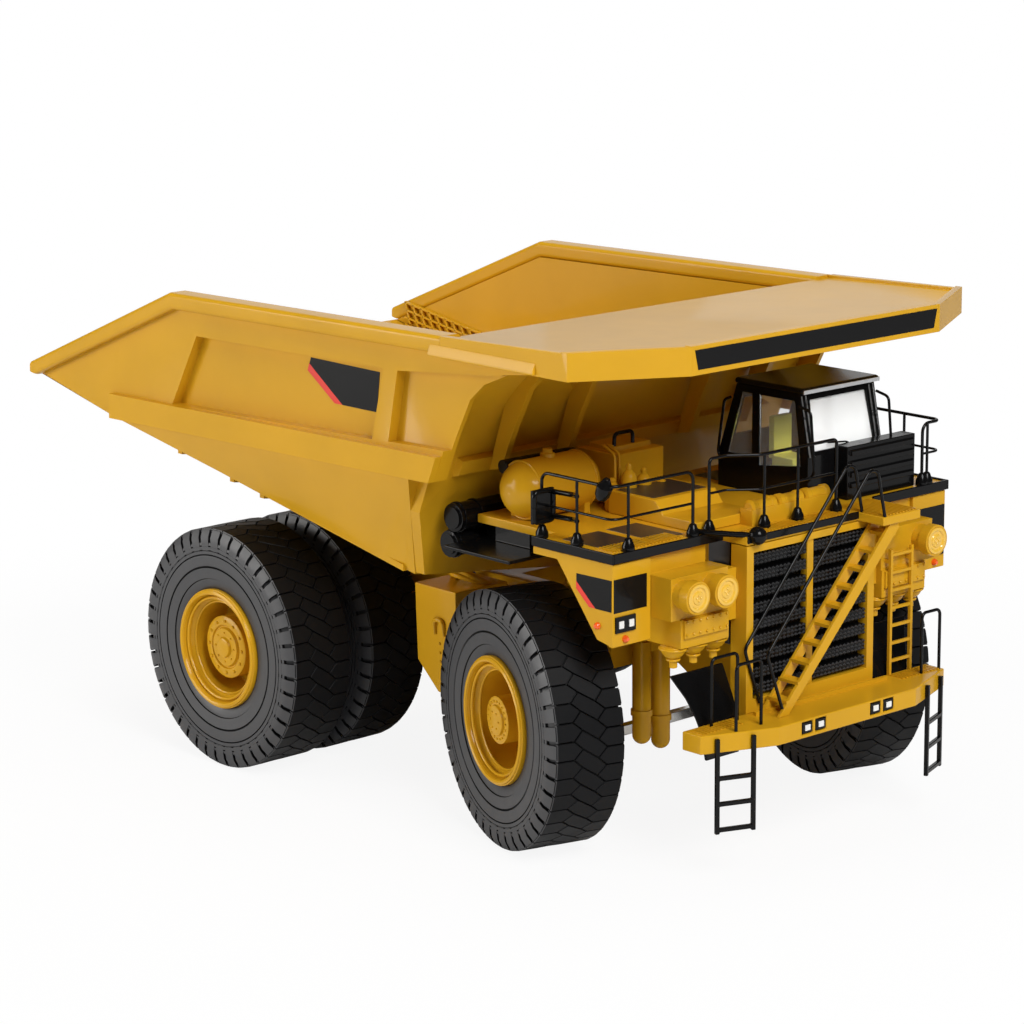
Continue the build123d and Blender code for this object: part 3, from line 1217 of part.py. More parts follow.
HOOD_X = (CABINET_X + 20.0, GRILLE_X - 12.3)
HOOD_Z = (DECK_Z[1] + 2.8, DECK_Z[1] + 6.4)
with BuildPart() as hood:
    side_plate(
        [
            (HOOD_X[0], DECK_Z[1] + SEAT_GAP),
            (HOOD_X[1], DECK_Z[1] + SEAT_GAP),
            (HOOD_X[1], HOOD_Z[0]),
            (HOOD_X[1] - 13.0, HOOD_Z[0]),
            (HOOD_X[1] - 16.0, HOOD_Z[1]),
            (HOOD_X[0], HOOD_Z[1]),
        ],
        (-31.0, -8.0),
    )
    block((HOOD_X[1] - 3.2, HOOD_X[1]), (-8.0, 21.5), (DECK_Z[1] + SEAT_GAP, HOOD_Z[0]))
save(hood.part, "hood")

# Black plates over the front tyres, and flaps between them and the bumper
PLATE_Z = DECK_Z[0] - 5.2
with BuildPart() as mud_plates:
    for side in (-1, 1):
        block((DECK_TAIL_X + 0.2, DECK_SIDE_X - 4.4), (side * 54.0, side * 69.4), (PLATE_Z, PLATE_Z + 1.0))
        block(
            (DECK_TAIL_X + 6.0, DECK_TAIL_X + 20.0),
            (side * 54.0, side * 56.0),
            (PLATE_Z + 1.0, DECK_Z[0] - SEAT_GAP),
        )
        # x behind the bumper's back and z above its underside, down the flap
        flap = [
            (BUMPER_BACK_X - SEAT_GAP - x, BUMPER_Z[0] + z)
            for x, z in ((6.2, 18.2), (4.5, 14.7), (2.6, 10.7), (1.0, 6.7), (0.1, 2.7), (0.0, -5.0))
        ]
        side_plate([*flap, *[(x - 0.8, z) for x, z in reversed(flap)]], (side * 26.5, side * 46.4))
        front_plate(
            [
                (side * 38.6, BUMPER_Z[0] - 6.0),
                (side * 41.0, BUMPER_Z[0] + 5.0),
                (side * 43.0, BUMPER_Z[0] + 12.0),
                (side * 46.5, BUMPER_Z[0] + 19.0),
                (side * 60.0, BUMPER_Z[0] + 19.0),
                (side * 60.0, BUMPER_Z[0] - 6.0),
            ],
            (BUMPER_BACK_X - 12.0, BUMPER_BACK_X),
            mode=Mode.SUBTRACT,
        )
save(mud_plates.part, "mud_plates")

# Tanks between the axles
SIDE_TANK_X = (FRONT_AXLE_X - STEER_SWEEP - 18.4, FRONT_AXLE_X - STEER_SWEEP - 0.88)
SIDE_TANK_Z = (TYRE_RADIUS - 5.5, RAIL_TOP_Z + 2.4)
for side, name in ((-1, "oil_tank"), (1, "fuel_tank")):
    with BuildPart() as side_tank:
        side_plate(
            [
                (SIDE_TANK_X[0], SIDE_TANK_Z[1]),
                (SIDE_TANK_X[0] + 0.8, SIDE_TANK_Z[0] + 8.0),
                (SIDE_TANK_X[0] + 9.6, SIDE_TANK_Z[0]),
                (SIDE_TANK_X[1], SIDE_TANK_Z[0]),
                (SIDE_TANK_X[1], SIDE_TANK_Z[1]),
            ],
            (side * 26.0, side * 45.6),
        )
        x = SIDE_TANK_X[1] - 7.5
        block((x - 4.0, x + 4.0), (side * (RAIL_OUTER_Y + SEAT_GAP), side * 27.0), (RAIL_TOP_Z - 10.0, RAIL_TOP_Z - 2.0))
    save(side_tank.part, name)
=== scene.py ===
"""Looks of a mining dump truck scale model, laid out as a Blender add-on.

Lengths in this file are millimetres unless a name says otherwise, and a mesh is scaled to
metres when it becomes a piece. +X is the front of the truck, +Y its left, +Z up.
"""

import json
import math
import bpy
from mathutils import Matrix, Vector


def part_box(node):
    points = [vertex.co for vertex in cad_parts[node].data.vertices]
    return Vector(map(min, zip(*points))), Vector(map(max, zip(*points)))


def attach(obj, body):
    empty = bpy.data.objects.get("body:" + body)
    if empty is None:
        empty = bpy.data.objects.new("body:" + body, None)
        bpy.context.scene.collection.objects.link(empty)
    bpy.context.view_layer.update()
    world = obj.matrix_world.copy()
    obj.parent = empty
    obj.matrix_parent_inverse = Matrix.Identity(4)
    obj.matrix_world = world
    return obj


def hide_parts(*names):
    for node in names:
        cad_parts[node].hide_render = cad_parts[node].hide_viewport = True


bl_info = {
    "name": "Mining dump truck model",
    "version": (1, 0, 0),
    "blender": (4, 5, 0),
    "location": "3D View > Sidebar > Dump truck",
    "description": "Dresses the frame of a mining dump truck model with its finished pieces",
    "category": "Object",
}

import bmesh
import bpy
from bpy.props import FloatProperty, FloatVectorProperty, IntProperty, PointerProperty
from mathutils import Matrix, Vector

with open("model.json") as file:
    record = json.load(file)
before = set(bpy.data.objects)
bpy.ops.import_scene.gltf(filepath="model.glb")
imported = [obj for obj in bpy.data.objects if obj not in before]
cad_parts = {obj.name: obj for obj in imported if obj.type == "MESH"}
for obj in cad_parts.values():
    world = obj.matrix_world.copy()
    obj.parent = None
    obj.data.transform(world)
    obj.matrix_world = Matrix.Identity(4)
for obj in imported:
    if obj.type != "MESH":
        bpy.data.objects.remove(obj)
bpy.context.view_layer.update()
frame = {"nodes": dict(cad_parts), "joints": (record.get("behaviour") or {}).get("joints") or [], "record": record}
MM = 0.001


def node_box(node):
    """Lowest and highest corner of a node, in millimetres."""
    low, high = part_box(node)
    return Vector(low) / MM, Vector(high) / MM


class TruckSizes(bpy.types.PropertyGroup):
    tread_pitches: IntProperty(
        name="Tread pitches", description="Shoulder lugs round one tyre", default=44, min=12
    )
    tread_depth: FloatProperty(
        name="Tread depth", description="Depth of the tread grooves in millimetres", default=0.9
    )
    groove: FloatProperty(
        name="Groove", description="Width of a tread groove in millimetres", default=0.36
    )
    edge_radius: FloatProperty(
        name="Edge radius", description="Rounding of cast edges in millimetres", default=0.28
    )


def colour_property(name, description, default):
    return FloatVectorProperty(
        name=name, description=description, subtype="COLOR", size=3, default=default
    )


class TruckColours(bpy.types.PropertyGroup):
    paint: colour_property("Paint", "Yellow enamel", (0.62, 0.328, 0.012))
    rubber: colour_property("Rubber", "Tyre rubber", (0.0065, 0.0066, 0.0072))
    black: colour_property("Black", "Black enamel and plastic", (0.004, 0.004, 0.0042))
    stripe: colour_property("Stripe", "Red stripe on the plates", (0.72, 0.035, 0.018))


def sizes():
    return bpy.context.scene.truck_sizes


def colours():
    return bpy.context.scene.truck_colours


# Materials
def node_material(name):
    """A new node material with its tree and its surface shader."""
    material = bpy.data.materials.new(name)
    material.use_nodes = True
    tree = material.node_tree
    return material, tree, tree.nodes["Principled BSDF"]


def noise(tree, scale, detail=2.0):
    """A noise value on the piece's own coordinates."""
    coordinates = tree.nodes.new("ShaderNodeTexCoord")
    texture = tree.nodes.new("ShaderNodeTexNoise")
    texture.inputs["Scale"].default_value = scale
    texture.inputs["Detail"].default_value = detail
    tree.links.new(coordinates.outputs["Object"], texture.inputs["Vector"])
    return texture.outputs["Fac"]


def grey(value):
    return (value, value, value)


def ramp(tree, source, stops):
    """A colour ramp on a value; stops are (position, colour) pairs."""
    node = tree.nodes.new("ShaderNodeValToRGB")
    elements = node.color_ramp.elements
    while len(elements) < len(stops):
        elements.new(0.5)
    for element, (position, colour) in zip(elements, stops):
        element.position = position
        element.color = (*colour, 1.0)
    tree.links.new(source, node.inputs["Fac"])
    return node.outputs["Color"]


def bump(tree, shader, height, strength, distance_mm):
    node = tree.nodes.new("ShaderNodeBump")
    node.inputs["Strength"].default_value = strength
    node.inputs["Distance"].default_value = distance_mm * MM
    tree.links.new(height, node.inputs["Height"])
    tree.links.new(node.outputs["Normal"], shader.inputs["Normal"])


def shade(colour, factor):
    return tuple(channel * factor for channel in colour)


def enamel(name, colour, roughness, orange_peel, coat=0.25, variation=0.05, shine=0.15):
    """Sprayed enamel on a casting: slight colour drift, uneven gloss and orange peel."""
    # noise scales, and the depth of the peel
    drift_scale, gloss_scale, peel_scale, peel_mm = 38.0, 120.0, 1250.0, 0.05
    material, tree, shader = node_material(name)
    drift = [(0.3, shade(colour, 1.0 - variation)), (0.7, shade(colour, 1.0 + variation))]
    tint = ramp(tree, noise(tree, drift_scale, 3.0), drift)
    tree.links.new(tint, shader.inputs["Base Color"])
    uneven = [(0.3, grey(roughness * 0.95)), (0.7, grey(roughness * 1.05))]
    gloss = ramp(tree, noise(tree, gloss_scale, 4.0), uneven)
    tree.links.new(gloss, shader.inputs["Roughness"])
    shader.inputs["Coat Weight"].default_value = coat
    shader.inputs["Coat Roughness"].default_value = 0.07
    shader.inputs["Specular IOR Level"].default_value = shine
    bump(tree, shader, noise(tree, peel_scale, 2.0), orange_peel, peel_mm)
    return material


def tyre_rubber():
    """Moulded rubber: near black on the tread; on the sidewalls a painted sheen, a lighter grey for the light that
    they catch, and a soft specular sheen.
    """
    colour = tuple(colours().rubber)
    material, tree, shader = node_material("tyre rubber")
    coordinates = tree.nodes.new("ShaderNodeTexCoord")
    parts = tree.nodes.new("ShaderNodeSeparateXYZ")
    sideways = tree.nodes.new("ShaderNodeMath")
    sideways.operation = "ABSOLUTE"
    tree.links.new(coordinates.outputs["Normal"], parts.inputs["Vector"])
    tree.links.new(parts.outputs["Y"], sideways.inputs[0])
    facing = sideways.outputs["Value"]
    # from the tread, whose normals turn about the axle, to the sidewall, which faces along it
    # the sidewalls' base colour is made lighter by this gain: a painted sheen for the light that the sidewalls
    # catch
    tread, sidewall, sidewall_painted_sheen = 0.70, 0.93, 5.5
    tint = ramp(tree, facing, [(tread, colour), (sidewall, shade(colour, sidewall_painted_sheen))])
    tree.links.new(tint, shader.inputs["Base Color"])
    sheen = ramp(tree, facing, [(tread, grey(0.12)), (sidewall, grey(0.50))])
    tree.links.new(sheen, shader.inputs["Specular IOR Level"])
    dull = ramp(tree, noise(tree, 240.0, 5.0), [(0.3, grey(0.40)), (0.7, grey(0.48))])
    tree.links.new(dull, shader.inputs["Roughness"])
    bump(tree, shader, noise(tree, 2600.0, 3.0), 0.25, 0.03)
    return material


def clear_pane(name, tint, roughness=0.02, clear=0.9):
    """Glass with faint smears that lets the lamps shine through."""
    material, tree, shader = node_material(name)
    smears = [(0.3, grey(roughness)), (0.8, grey(roughness * 2.5))]
    smear = ramp(tree, noise(tree, 90.0, 3.0), smears)
    tree.links.new(smear, shader.inputs["Roughness"])
    shader.inputs["Base Color"].default_value = (*tint, 1.0)
    shader.inputs["Transmission Weight"].default_value = clear
    shader.inputs["IOR"].default_value = 1.45
    path = tree.nodes.new("ShaderNodeLightPath")
    open_air = tree.nodes.new("ShaderNodeBsdfTransparent")
    mix = tree.nodes.new("ShaderNodeMixShader")
    tree.links.new(path.outputs["Is Shadow Ray"], mix.inputs["Fac"])
    tree.links.new(shader.outputs["BSDF"], mix.inputs[1])
    tree.links.new(open_air.outputs["BSDF"], mix.inputs[2])
    tree.links.new(mix.outputs["Shader"], tree.nodes["Material Output"].inputs["Surface"])
    return material


def bare_metal(name, colour, roughness):
    """Turned or drawn metal with a fine grain."""
    material, tree, shader = node_material(name)
    shader.inputs["Base Color"].default_value = (*colour, 1.0)
    shader.inputs["Metallic"].default_value = 1.0
    grain = [(0.3, grey(roughness * 0.8)), (0.7, grey(roughness * 1.3))]
    gloss = ramp(tree, noise(tree, 400.0, 4.0), grain)
    tree.links.new(gloss, shader.inputs["Roughness"])
    bump(tree, shader, noise(tree, 1800.0, 2.0), 0.1, 0.02)
    return material


FINISHES = {}


def make_finishes():
    """Every finish of the truck; an enamel's numbers are its roughness and its orange peel."""
    paint, black = tuple(colours().paint), tuple(colours().black)
    stripe = tuple(colours().stripe)
    satin = {"coat": 0.15, "shine": 0.1}
    lens = {"coat": 1.0}
    FINISHES.update(
        yellow_paint=enamel("yellow enamel", paint, 0.26, 0.05, **satin),
        black_paint=enamel("black enamel", black, 0.22, 0.04, variation=0.2, **satin),
        black_metal=enamel("dark metal", shade(black, 6.0), 0.32, 0.12, coat=0.0, shine=0.5),
        plate_black=enamel("blank plate", shade(black, 1.2), 0.25, 0.04, coat=0.12, shine=0.1),
        stripe=enamel("red stripe", stripe, 0.3, 0.08, coat=0.5),
        seat_cover=enamel("seat cover", (0.90, 0.84, 0.12), 0.6, 0.4, coat=0.0),
        lamp_lens=enamel("lamp lens", (0.80, 0.48, 0.05), 0.12, 0.05, **lens),
        white_lens=enamel("white lens", (0.80, 0.80, 0.77), 0.12, 0.05, **lens),
        orange_lens=enamel("orange lens", (0.85, 0.11, 0.01), 0.12, 0.05, **lens),
        tyre_rubber=tyre_rubber(),
        steel=bare_metal("polished rod", (0.62, 0.62, 0.60), 0.16),
        silver_trim=bare_metal("silver trim", (0.72, 0.73, 0.74), 0.3),
        glass=clear_pane("window pane", (0.86, 0.88, 0.88)),
        # painted light: the windscreen is a near white pane that lets only 0.4 through, and it stands in for the
        # bright light seen in the glass
        windscreen=clear_pane("windscreen", (0.97, 0.98, 0.98), 0.06, 0.4),
    )


# Mesh building
# a turned profile meets its axis at this radius
ON_AXIS = 0.001


class Form:
    """A mesh in the making, in millimetres."""

    def __init__(self):
        self.mesh = bmesh.new()

    def face(self, points):
        self.mesh.faces.new([self.mesh.verts.new(point) for point in points])

    def box(self, low, high):
        (x0, y0, z0), (x1, y1, z1) = low, high
        corners = [(x0, y0), (x1, y0), (x1, y1), (x0, y1)]
        self.rings([[(x, y, z) for x, y in corners] for z in (z0, z1)], closed=False, caps=True)

    def rings(self, rings, closed=True, caps=False):
        """Quads between successive rings of points; closed joins the last ring to the first."""
        rows = [[self.mesh.verts.new(point) for point in ring] for ring in rings]
        count = len(rows[0])
        pairs = list(zip(rows, rows[1:]))
        if closed:
            pairs.append((rows[-1], rows[0]))
        for low, high in pairs:
            for i in range(count):
                j = (i + 1) % count
                self.mesh.faces.new((low[i], low[j], high[j], high[i]))
        if caps:
            self.mesh.faces.new(list(reversed(rows[0])))
            self.mesh.faces.new(rows[-1])

    def lathe(self, profile, frame_matrix, segments=64, closed=True):
        """Turns (radius, height) points about the frame's z axis."""
        turns = [math.tau * i / segments for i in range(segments)]
        rings = [
            [frame_matrix @ Vector((r * math.cos(a), r * math.sin(a), height)) for a in turns]
            for r, height in profile
        ]
        self.rings(rings, closed=closed)

    def take(self, mesh, matrix=Matrix.Identity(4)):
        """Adds a copy of a finished mesh."""
        start = len(self.mesh.verts)
        self.mesh.from_mesh(mesh)
        self.mesh.verts.ensure_lookup_table()
        bmesh.ops.transform(self.mesh, matrix=matrix, verts=self.mesh.verts[start:])

    def bake(self, name, smooth_angle=None):
        """The mesh as data in metres, with its normals turned outwards."""
        bmesh.ops.recalc_face_normals(self.mesh, faces=self.mesh.faces)
        bmesh.ops.scale(self.mesh, vec=(MM, MM, MM), verts=self.mesh.verts)
        data = bpy.data.meshes.new(name)
        self.mesh.to_mesh(data)
        self.mesh.free()
        if smooth_angle is not None:
            data.shade_smooth()
            data.set_sharp_from_angle(angle=math.radians(smooth_angle))
        return data


def add_object(name, data, finish):
    """An object with one material: the name of a finish, or a material itself."""
    piece = bpy.data.objects.new(name, data)
    bpy.context.scene.collection.objects.link(piece)
    data.materials.clear()
    data.materials.append(FINISHES[finish] if isinstance(finish, str) else finish)
    return piece


def seat_piece(piece, body, replaces=()):
    """Gives a finished piece its body and the nodes that it stands for."""
    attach(piece, body)
    if replaces:
        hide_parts(*replaces)


def round_edges(piece, width_mm, segments=2, angle=32.0):
    bevel = piece.modifiers.new("Rounded edges", "BEVEL")
    bevel.width = width_mm * MM
    bevel.segments = segments
    bevel.limit_method = "ANGLE"
    bevel.angle_limit = math.radians(angle)
    bevel.loop_slide = False
    bevel.harden_normals = True
    return bevel


def torn(piece):
    """Whether a modifier leaves a flat face whose outline crosses itself.

    The triangles that fill such a face hold more area than the face has.
    """
    share_allowed, area_allowed = 1.01, 0.02 * MM * MM
    graph = bpy.context.evaluated_depsgraph_get()
    shape = piece.evaluated_get(graph)
    mesh = shape.to_mesh()
    mesh.calc_loop_triangles()
    filled = [0.0] * len(mesh.polygons)
    for triangle in mesh.loop_triangles:
        filled[triangle.polygon_index] += triangle.area
    result = any(
        area > share_allowed * polygon.area + area_allowed
        for area, polygon in zip(filled, mesh.polygons)
    )
    shape.to_mesh_clear()
    return result


def prism(form, outline, reach):
    """A flat plate from its corners in space, thickened along a vector."""
    low = [Vector(point) for point in outline]
    form.rings([low, [point + Vector(reach) for point in low]], closed=False, caps=True)


def side_plate(form, outline, y, depth):
    """A plate across Y from (x, z) corners."""
    prism(form, [(x, y, z) for x, z in outline], (0, depth, 0))


def front_plate(form, outline, x, depth):
    """A plate across X from (y, z) corners."""
    prism(form, [(x, y, z) for y, z in outline], (depth, 0, 0))


def axis_frame(origin, direction):
    """A frame whose z axis points along a direction."""
    matrix = Vector(direction).to_track_quat("Z", "Y").to_matrix().to_4x4()
    matrix.translation = Vector(origin)
    return matrix


def turned(form, start, end, profile, segments=32):
    """A turned piece; profile rows are (share of the length, radius) and end on the axis."""
    start, end = Vector(start), Vector(end)
    length = (end - start).length
    rows = [(ON_AXIS, profile[0][0] * length)]
    rows += [(radius, share * length) for share, radius in profile]
    rows.append((ON_AXIS, profile[-1][0] * length))
    form.lathe(rows, axis_frame(start, end - start), segments=segments, closed=False)


def rounded_path(points, bend, steps=5):
    """A line of points whose corners are replaced by short curves."""
    # the most of a stretch between two corners that one curve takes up
    most = 0.45
    points = [Vector(point) for point in points]
    path = [points[0]]
    for before, here, after in zip(points, points[1:], points[2:]):
        reach = min(bend, most * (here - before).length, most * (after - here).length)
        start = here + (before - here).normalized() * reach
        end = here + (after - here).normalized() * reach
        for i in range(steps + 1):
            t = i / steps
            path.append(start * (1 - t) ** 2 + here * 2 * t * (1 - t) + end * t * t)
    path.append(points[-1])
    return path


def tube(form, points, radius, bend=1.5, sides=12):
    """A bent round bar through its corner points."""
    path = rounded_path(points, bend)
    across = (path[1] - path[0]).orthogonal().normalized()
    turns = [math.tau * k / sides for k in range(sides)]
    rings = []
    for i, here in enumerate(path):
        along = (path[min(i + 1, len(path) - 1)] - path[max(i - 1, 0)]).normalized()
        across = (across - along * across.dot(along)).normalized()
        other = along.cross(across)
        rings.append(
            [here + (across * math.cos(a) + other * math.sin(a)) * radius for a in turns]
        )
    form.rings(rings, closed=False, caps=True)


def finished(form, name, finish, body, width_mm=0.0, smooth_angle=35.0):
    """The form as a finished piece that rides on a body."""
    piece = add_object(name, form.bake(name, smooth_angle=smooth_angle), finish)
    if width_mm:
        round_edges(piece, width_mm)
    seat_piece(piece, body)


def copies_tree():
    """Geometry Nodes: a source repeated along a step and about the z axis."""
    name = "Copies in a row or ring"
    if name in bpy.data.node_groups:
        return bpy.data.node_groups[name]
    tree = bpy.data.node_groups.new(name, "GeometryNodeTree")
    nodes = tree.nodes
    tree.interface.new_socket("Geometry", in_out="OUTPUT", socket_type="NodeSocketGeometry")
    for label, kind in (
        ("Source", "Object"),
        ("Count", "Int"),
        ("Step", "Vector"),
        ("Turn", "Float"),
        ("Material", "Material"),
    ):
        tree.interface.new_socket(label, in_out="INPUT", socket_type=f"NodeSocket{kind}")
    start = nodes.new("NodeGroupInput")
    end = nodes.new("NodeGroupOutput")
    source = nodes.new("GeometryNodeObjectInfo")
    points = nodes.new("GeometryNodePoints")
    index = nodes.new("GeometryNodeInputIndex")
    place = nodes.new("ShaderNodeVectorMath")
    place.operation = "SCALE"
    turn = nodes.new("ShaderNodeMath")
    turn.operation = "MULTIPLY"
    spin = nodes.new("ShaderNodeCombineXYZ")
    stand = nodes.new("GeometryNodeInstanceOnPoints")
    real = nodes.new("GeometryNodeRealizeInstances")
    finish = nodes.new("GeometryNodeSetMaterial")
    for giver, output, taker, entry in (
        (start, "Source", source, "Object"),
        (start, "Count", points, "Count"),
        (start, "Step", place, 0),
        (index, "Index", place, "Scale"),
        (place, "Vector", points, "Position"),
        (index, "Index", turn, 0),
        (start, "Turn", turn, 1),
        (turn, "Value", spin, "Z"),
        (points, "Points", stand, "Points"),
        (source, "Geometry", stand, "Instance"),
        (spin, "Vector", stand, "Rotation"),
        (stand, "Instances", real, "Geometry"),
        (real, "Geometry", finish, "Geometry"),
        (start, "Material", finish, "Material"),
        (finish, "Geometry", end, "Geometry"),
    ):
        tree.links.new(giver.outputs[output], taker.inputs[entry])
    return tree


def repeated(form, count, step=(0.0, 0.0, 0.0), turn=0.0, finish="yellow_paint"):
    """The form's mesh copied by Geometry Nodes, as plain mesh data in millimetres."""
    data = bpy.data.meshes.new("pattern source")
    bmesh.ops.recalc_face_normals(form.mesh, faces=form.mesh.faces)
    form.mesh.to_mesh(data)
    form.mesh.free()
    source = bpy.data.objects.new("pattern source", data)
    holder = bpy.data.objects.new("pattern", bpy.data.meshes.new("pattern"))
    for item in (source, holder):
        bpy.context.scene.collection.objects.link(item)
    tree = copies_tree()
    modifier = holder.modifiers.new("Copies", "NODES")
    modifier.node_group = tree
    values = {
        "Source": source,
        "Count": count,
        "Step": step,
        "Turn": turn,
        "Material": FINISHES[finish],
    }
    for item in tree.interface.items_tree:
        if item.in_out == "INPUT":
            modifier[item.identifier] = values[item.name]
    graph = bpy.context.evaluated_depsgraph_get()
    mesh = bpy.data.meshes.new_from_object(holder.evaluated_get(graph))
    for item in (source, holder):
        old = item.data
        bpy.data.objects.remove(item)
        bpy.data.meshes.remove(old)
    return mesh


def wheel_frame(body):
    """A frame at a wheel's joint whose z axis points away from the truck, along the axle."""
    joint = next(j for j in frame["joints"] if j["child"] == body)
    origin = Vector(joint["pos_m"]) / MM
    outward = Vector(joint["axis"])
    if outward.y * origin.y < 0:
        outward = -outward
    up = Vector((0, 0, 1))
    side = up.cross(outward).normalized()
    matrix = Matrix((side, outward.cross(side), outward)).transposed().to_4x4()
    matrix.translation = origin
    return matrix


def body_of_node(node):
    bodies = frame["record"]["behaviour"]["bodies"]
    return next(body for body, nodes in bodies.items() if node in nodes)


# Tyres
TYRE_RADIUS = 35.55
TYRE_WIDTH = 22.4
TREAD_HALF = 9.7
BEAD = 17.0


def inset(points, distance):
    """A convex outline with each edge moved inwards."""
    # keeps a sharp corner from running far inwards
    least_cosine = 0.3
    moved = []
    count = len(points)
    area = sum(
        points[i][0] * points[(i + 1) % count][1] - points[(i + 1) % count][0] * points[i][1]
        for i in range(count)
    )
    sign = 1.0 if area > 0 else -1.0
    for i in range(count):
        before, here, after = points[i - 1], points[i], points[(i + 1) % count]
        arriving = Vector((here[0] - before[0], here[1] - before[1])).normalized()
        leaving = Vector((after[0] - here[0], after[1] - here[1])).normalized()
        normal = Vector((-arriving.y, arriving.x)) * sign
        next_normal = Vector((-leaving.y, leaving.x)) * sign
        bisector = (normal + next_normal).normalized()
        cosine = max(least_cosine, bisector.dot(normal))
        moved.append(Vector(here) + bisector * distance / cosine)
    return moved


def tread_pitch():
    """One pitch of the tread: two shoulder lugs and the slanted block between them."""
    settings = sizes()
    pitch = math.tau * TYRE_RADIUS / settings.tread_pitches
    buried, chamfer, shoulder_fall = 0.15, 0.12, 0.9
    floor = TYRE_RADIUS - settings.tread_depth - buried
    gap = settings.groove / 2
    # (distance inwards from the outline, radius) of a lug's foot, wall and face
    heights = [(gap, floor), (gap, TYRE_RADIUS - chamfer), (gap + chamfer, TYRE_RADIUS)]
    form = Form()

    def on_tyre(along, reach, across):
        angle = along / TYRE_RADIUS
        return Vector((reach * math.cos(angle), reach * math.sin(angle), across))

    def lug(outline):
        """A block from its outline: shares of the pitch along the tread, millimetres across."""
        outline = [(share * pitch, across) for share, across in outline]
        rings = []
        for step, height in heights:
            rings.append(
                [
                    on_tyre(along, height - max(0.0, abs(across) - TREAD_HALF) * shoulder_fall, across)
                    for along, across in inset(outline, step)
                ]
            )
        form.rings(rings, closed=False, caps=True)

    # the lugs interlock along a zigzag between these two places across the tread
    peak, valley, edge = 2.3, 4.9, TREAD_HALF + 0.3
    lug([(0.45, -peak), (1.0, -valley), (1.45, -peak), (2.05, peak), (1.5, valley), (1.05, peak)])
    # each shoulder runs down the sidewall: (place across, radius), the notch and the depth
    shoulder = [
        (TREAD_HALF - 1.2, TYRE_RADIUS - 0.06),
        (TREAD_HALF + 0.35, TYRE_RADIUS - 0.35),
        (10.98, 33.0),
        (11.12, 31.3),
    ]
    notch, depth = 0.62, 2.2
    for side, start, lean in ((-1, 0.0, 0.45), (1, 0.5, 0.55)):
        end = start + 1.0
        outline = [(start, edge), (start, valley), (start + lean, peak), (end, valley), (end, edge)]
        lug([(share, side * across) for share, across in outline])
        near, far = start * pitch + notch, end * pitch - notch
        rings = []
        for across, reach in shoulder:
            corners = [(near, reach), (far, reach), (far, reach - depth), (near, reach - depth)]
            rings.append([on_tyre(along, height, side * across) for along, height in corners])
        form.rings(rings, closed=False, caps=True)
    return form


def tyre_mesh():
    """A whole tyre about the z axis: carcass, sidewall lines and tread, in millimetres."""
    settings = sizes()
    half = TYRE_WIDTH / 2
    floor = TYRE_RADIUS - settings.tread_depth
    # (radius, place across the tyre) from the bead over the raised rings to the tread's floor
    side = [
        (BEAD, half - 2.6),
        (BEAD + 0.4, half - 1.6),
        (BEAD + 1.6, half - 0.9),
        (20.6, half - 0.75),
        (20.8, half - 0.42),
        (23.9, half - 0.12),
        (24.2, half - 0.45),
        (24.5, half - 0.10),
        (27.0, half),
        (27.6, half - 0.02),
        (27.8, half - 0.38),
        (28.0, half - 0.02),
        (28.9, half - 0.02),
        (29.1, half - 0.40),
        (29.3, half - 0.03),
        (30.2, half - 0.05),
        (30.4, half - 0.42),
        (30.6, half - 0.10),
        (31.4, half - 0.25),
        (31.6, half - 0.95),
        (32.6, half - 1.45),
        (floor - 0.9, TREAD_HALF - 0.5),
        (floor, TREAD_HALF - 1.1),
    ]
    profile = side + [(r, -h) for r, h in reversed(side)]
    form = Form()
    form.lathe(profile, Matrix.Identity(4), segments=3 * settings.tread_pitches)
    turn = math.tau / settings.tread_pitches
    form.take(repeated(tread_pitch(), settings.tread_pitches, turn=turn, finish="tyre_rubber"))
    return form.bake("tyre", smooth_angle=28.0)


class TRUCK_OT_tyres(bpy.types.Operator):
    """Six tyres with block tread, shoulder notches and sidewall lines"""

    bl_idname = "truck.tyres"
    bl_label = "Tyres"

    def execute(self, context):
        pattern = tyre_mesh()
        for node in sorted(n for n in frame["nodes"] if n.startswith("tyre_")):
            body = body_of_node(node)
            low, high = node_box(node)
            placed = wheel_frame(body)
            placed.translation = (low + high) / 2 * MM
            data = pattern.copy()
            data.transform(placed)
            piece = add_object(f"{node}_tread", data, "tyre_rubber")
            seat_piece(piece, body, [node])
        return {"FINISHED"}


# Nodes whose shape is kept: a merged copy with rounded edges, in another radius for some
EDGES = {
    "handrails": 0.02,
    "stair": 0.12,
    "ladders": 0.3,
    "box_ladder": 0.2,
    "cab_glass": 0.05,
    "cab_shell": 0.5,
    "cab_roof": 0.8,
    "bumper": 0.6,
}


def dressed_copy(node, finish, width_mm, smooth_angle=30.0):
    """A merged copy of a CAD node, its edges rounded as widely as its shape lets them be."""
    same_place, same_plane, least_width = 0.004 * MM, math.radians(1.0), 0.02
    shape = bmesh.new()
    shape.from_mesh(frame["nodes"][node].data)
    bmesh.ops.remove_doubles(shape, verts=shape.verts, dist=same_place)
    bmesh.ops.dissolve_limit(
        shape, angle_limit=same_plane, verts=shape.verts, edges=shape.edges
    )
    data = bpy.data.meshes.new(f"{node} dressed")
    shape.to_mesh(data)
    shape.free()
    data.shade_smooth()
    data.set_sharp_from_angle(angle=math.radians(smooth_angle))
    piece = add_object(f"{node}_dressed", data, finish)
    bevel = round_edges(piece, width_mm)
    while torn(piece) and width_mm > least_width:
        width_mm /= 2
        bevel.width = width_mm * MM
    return piece


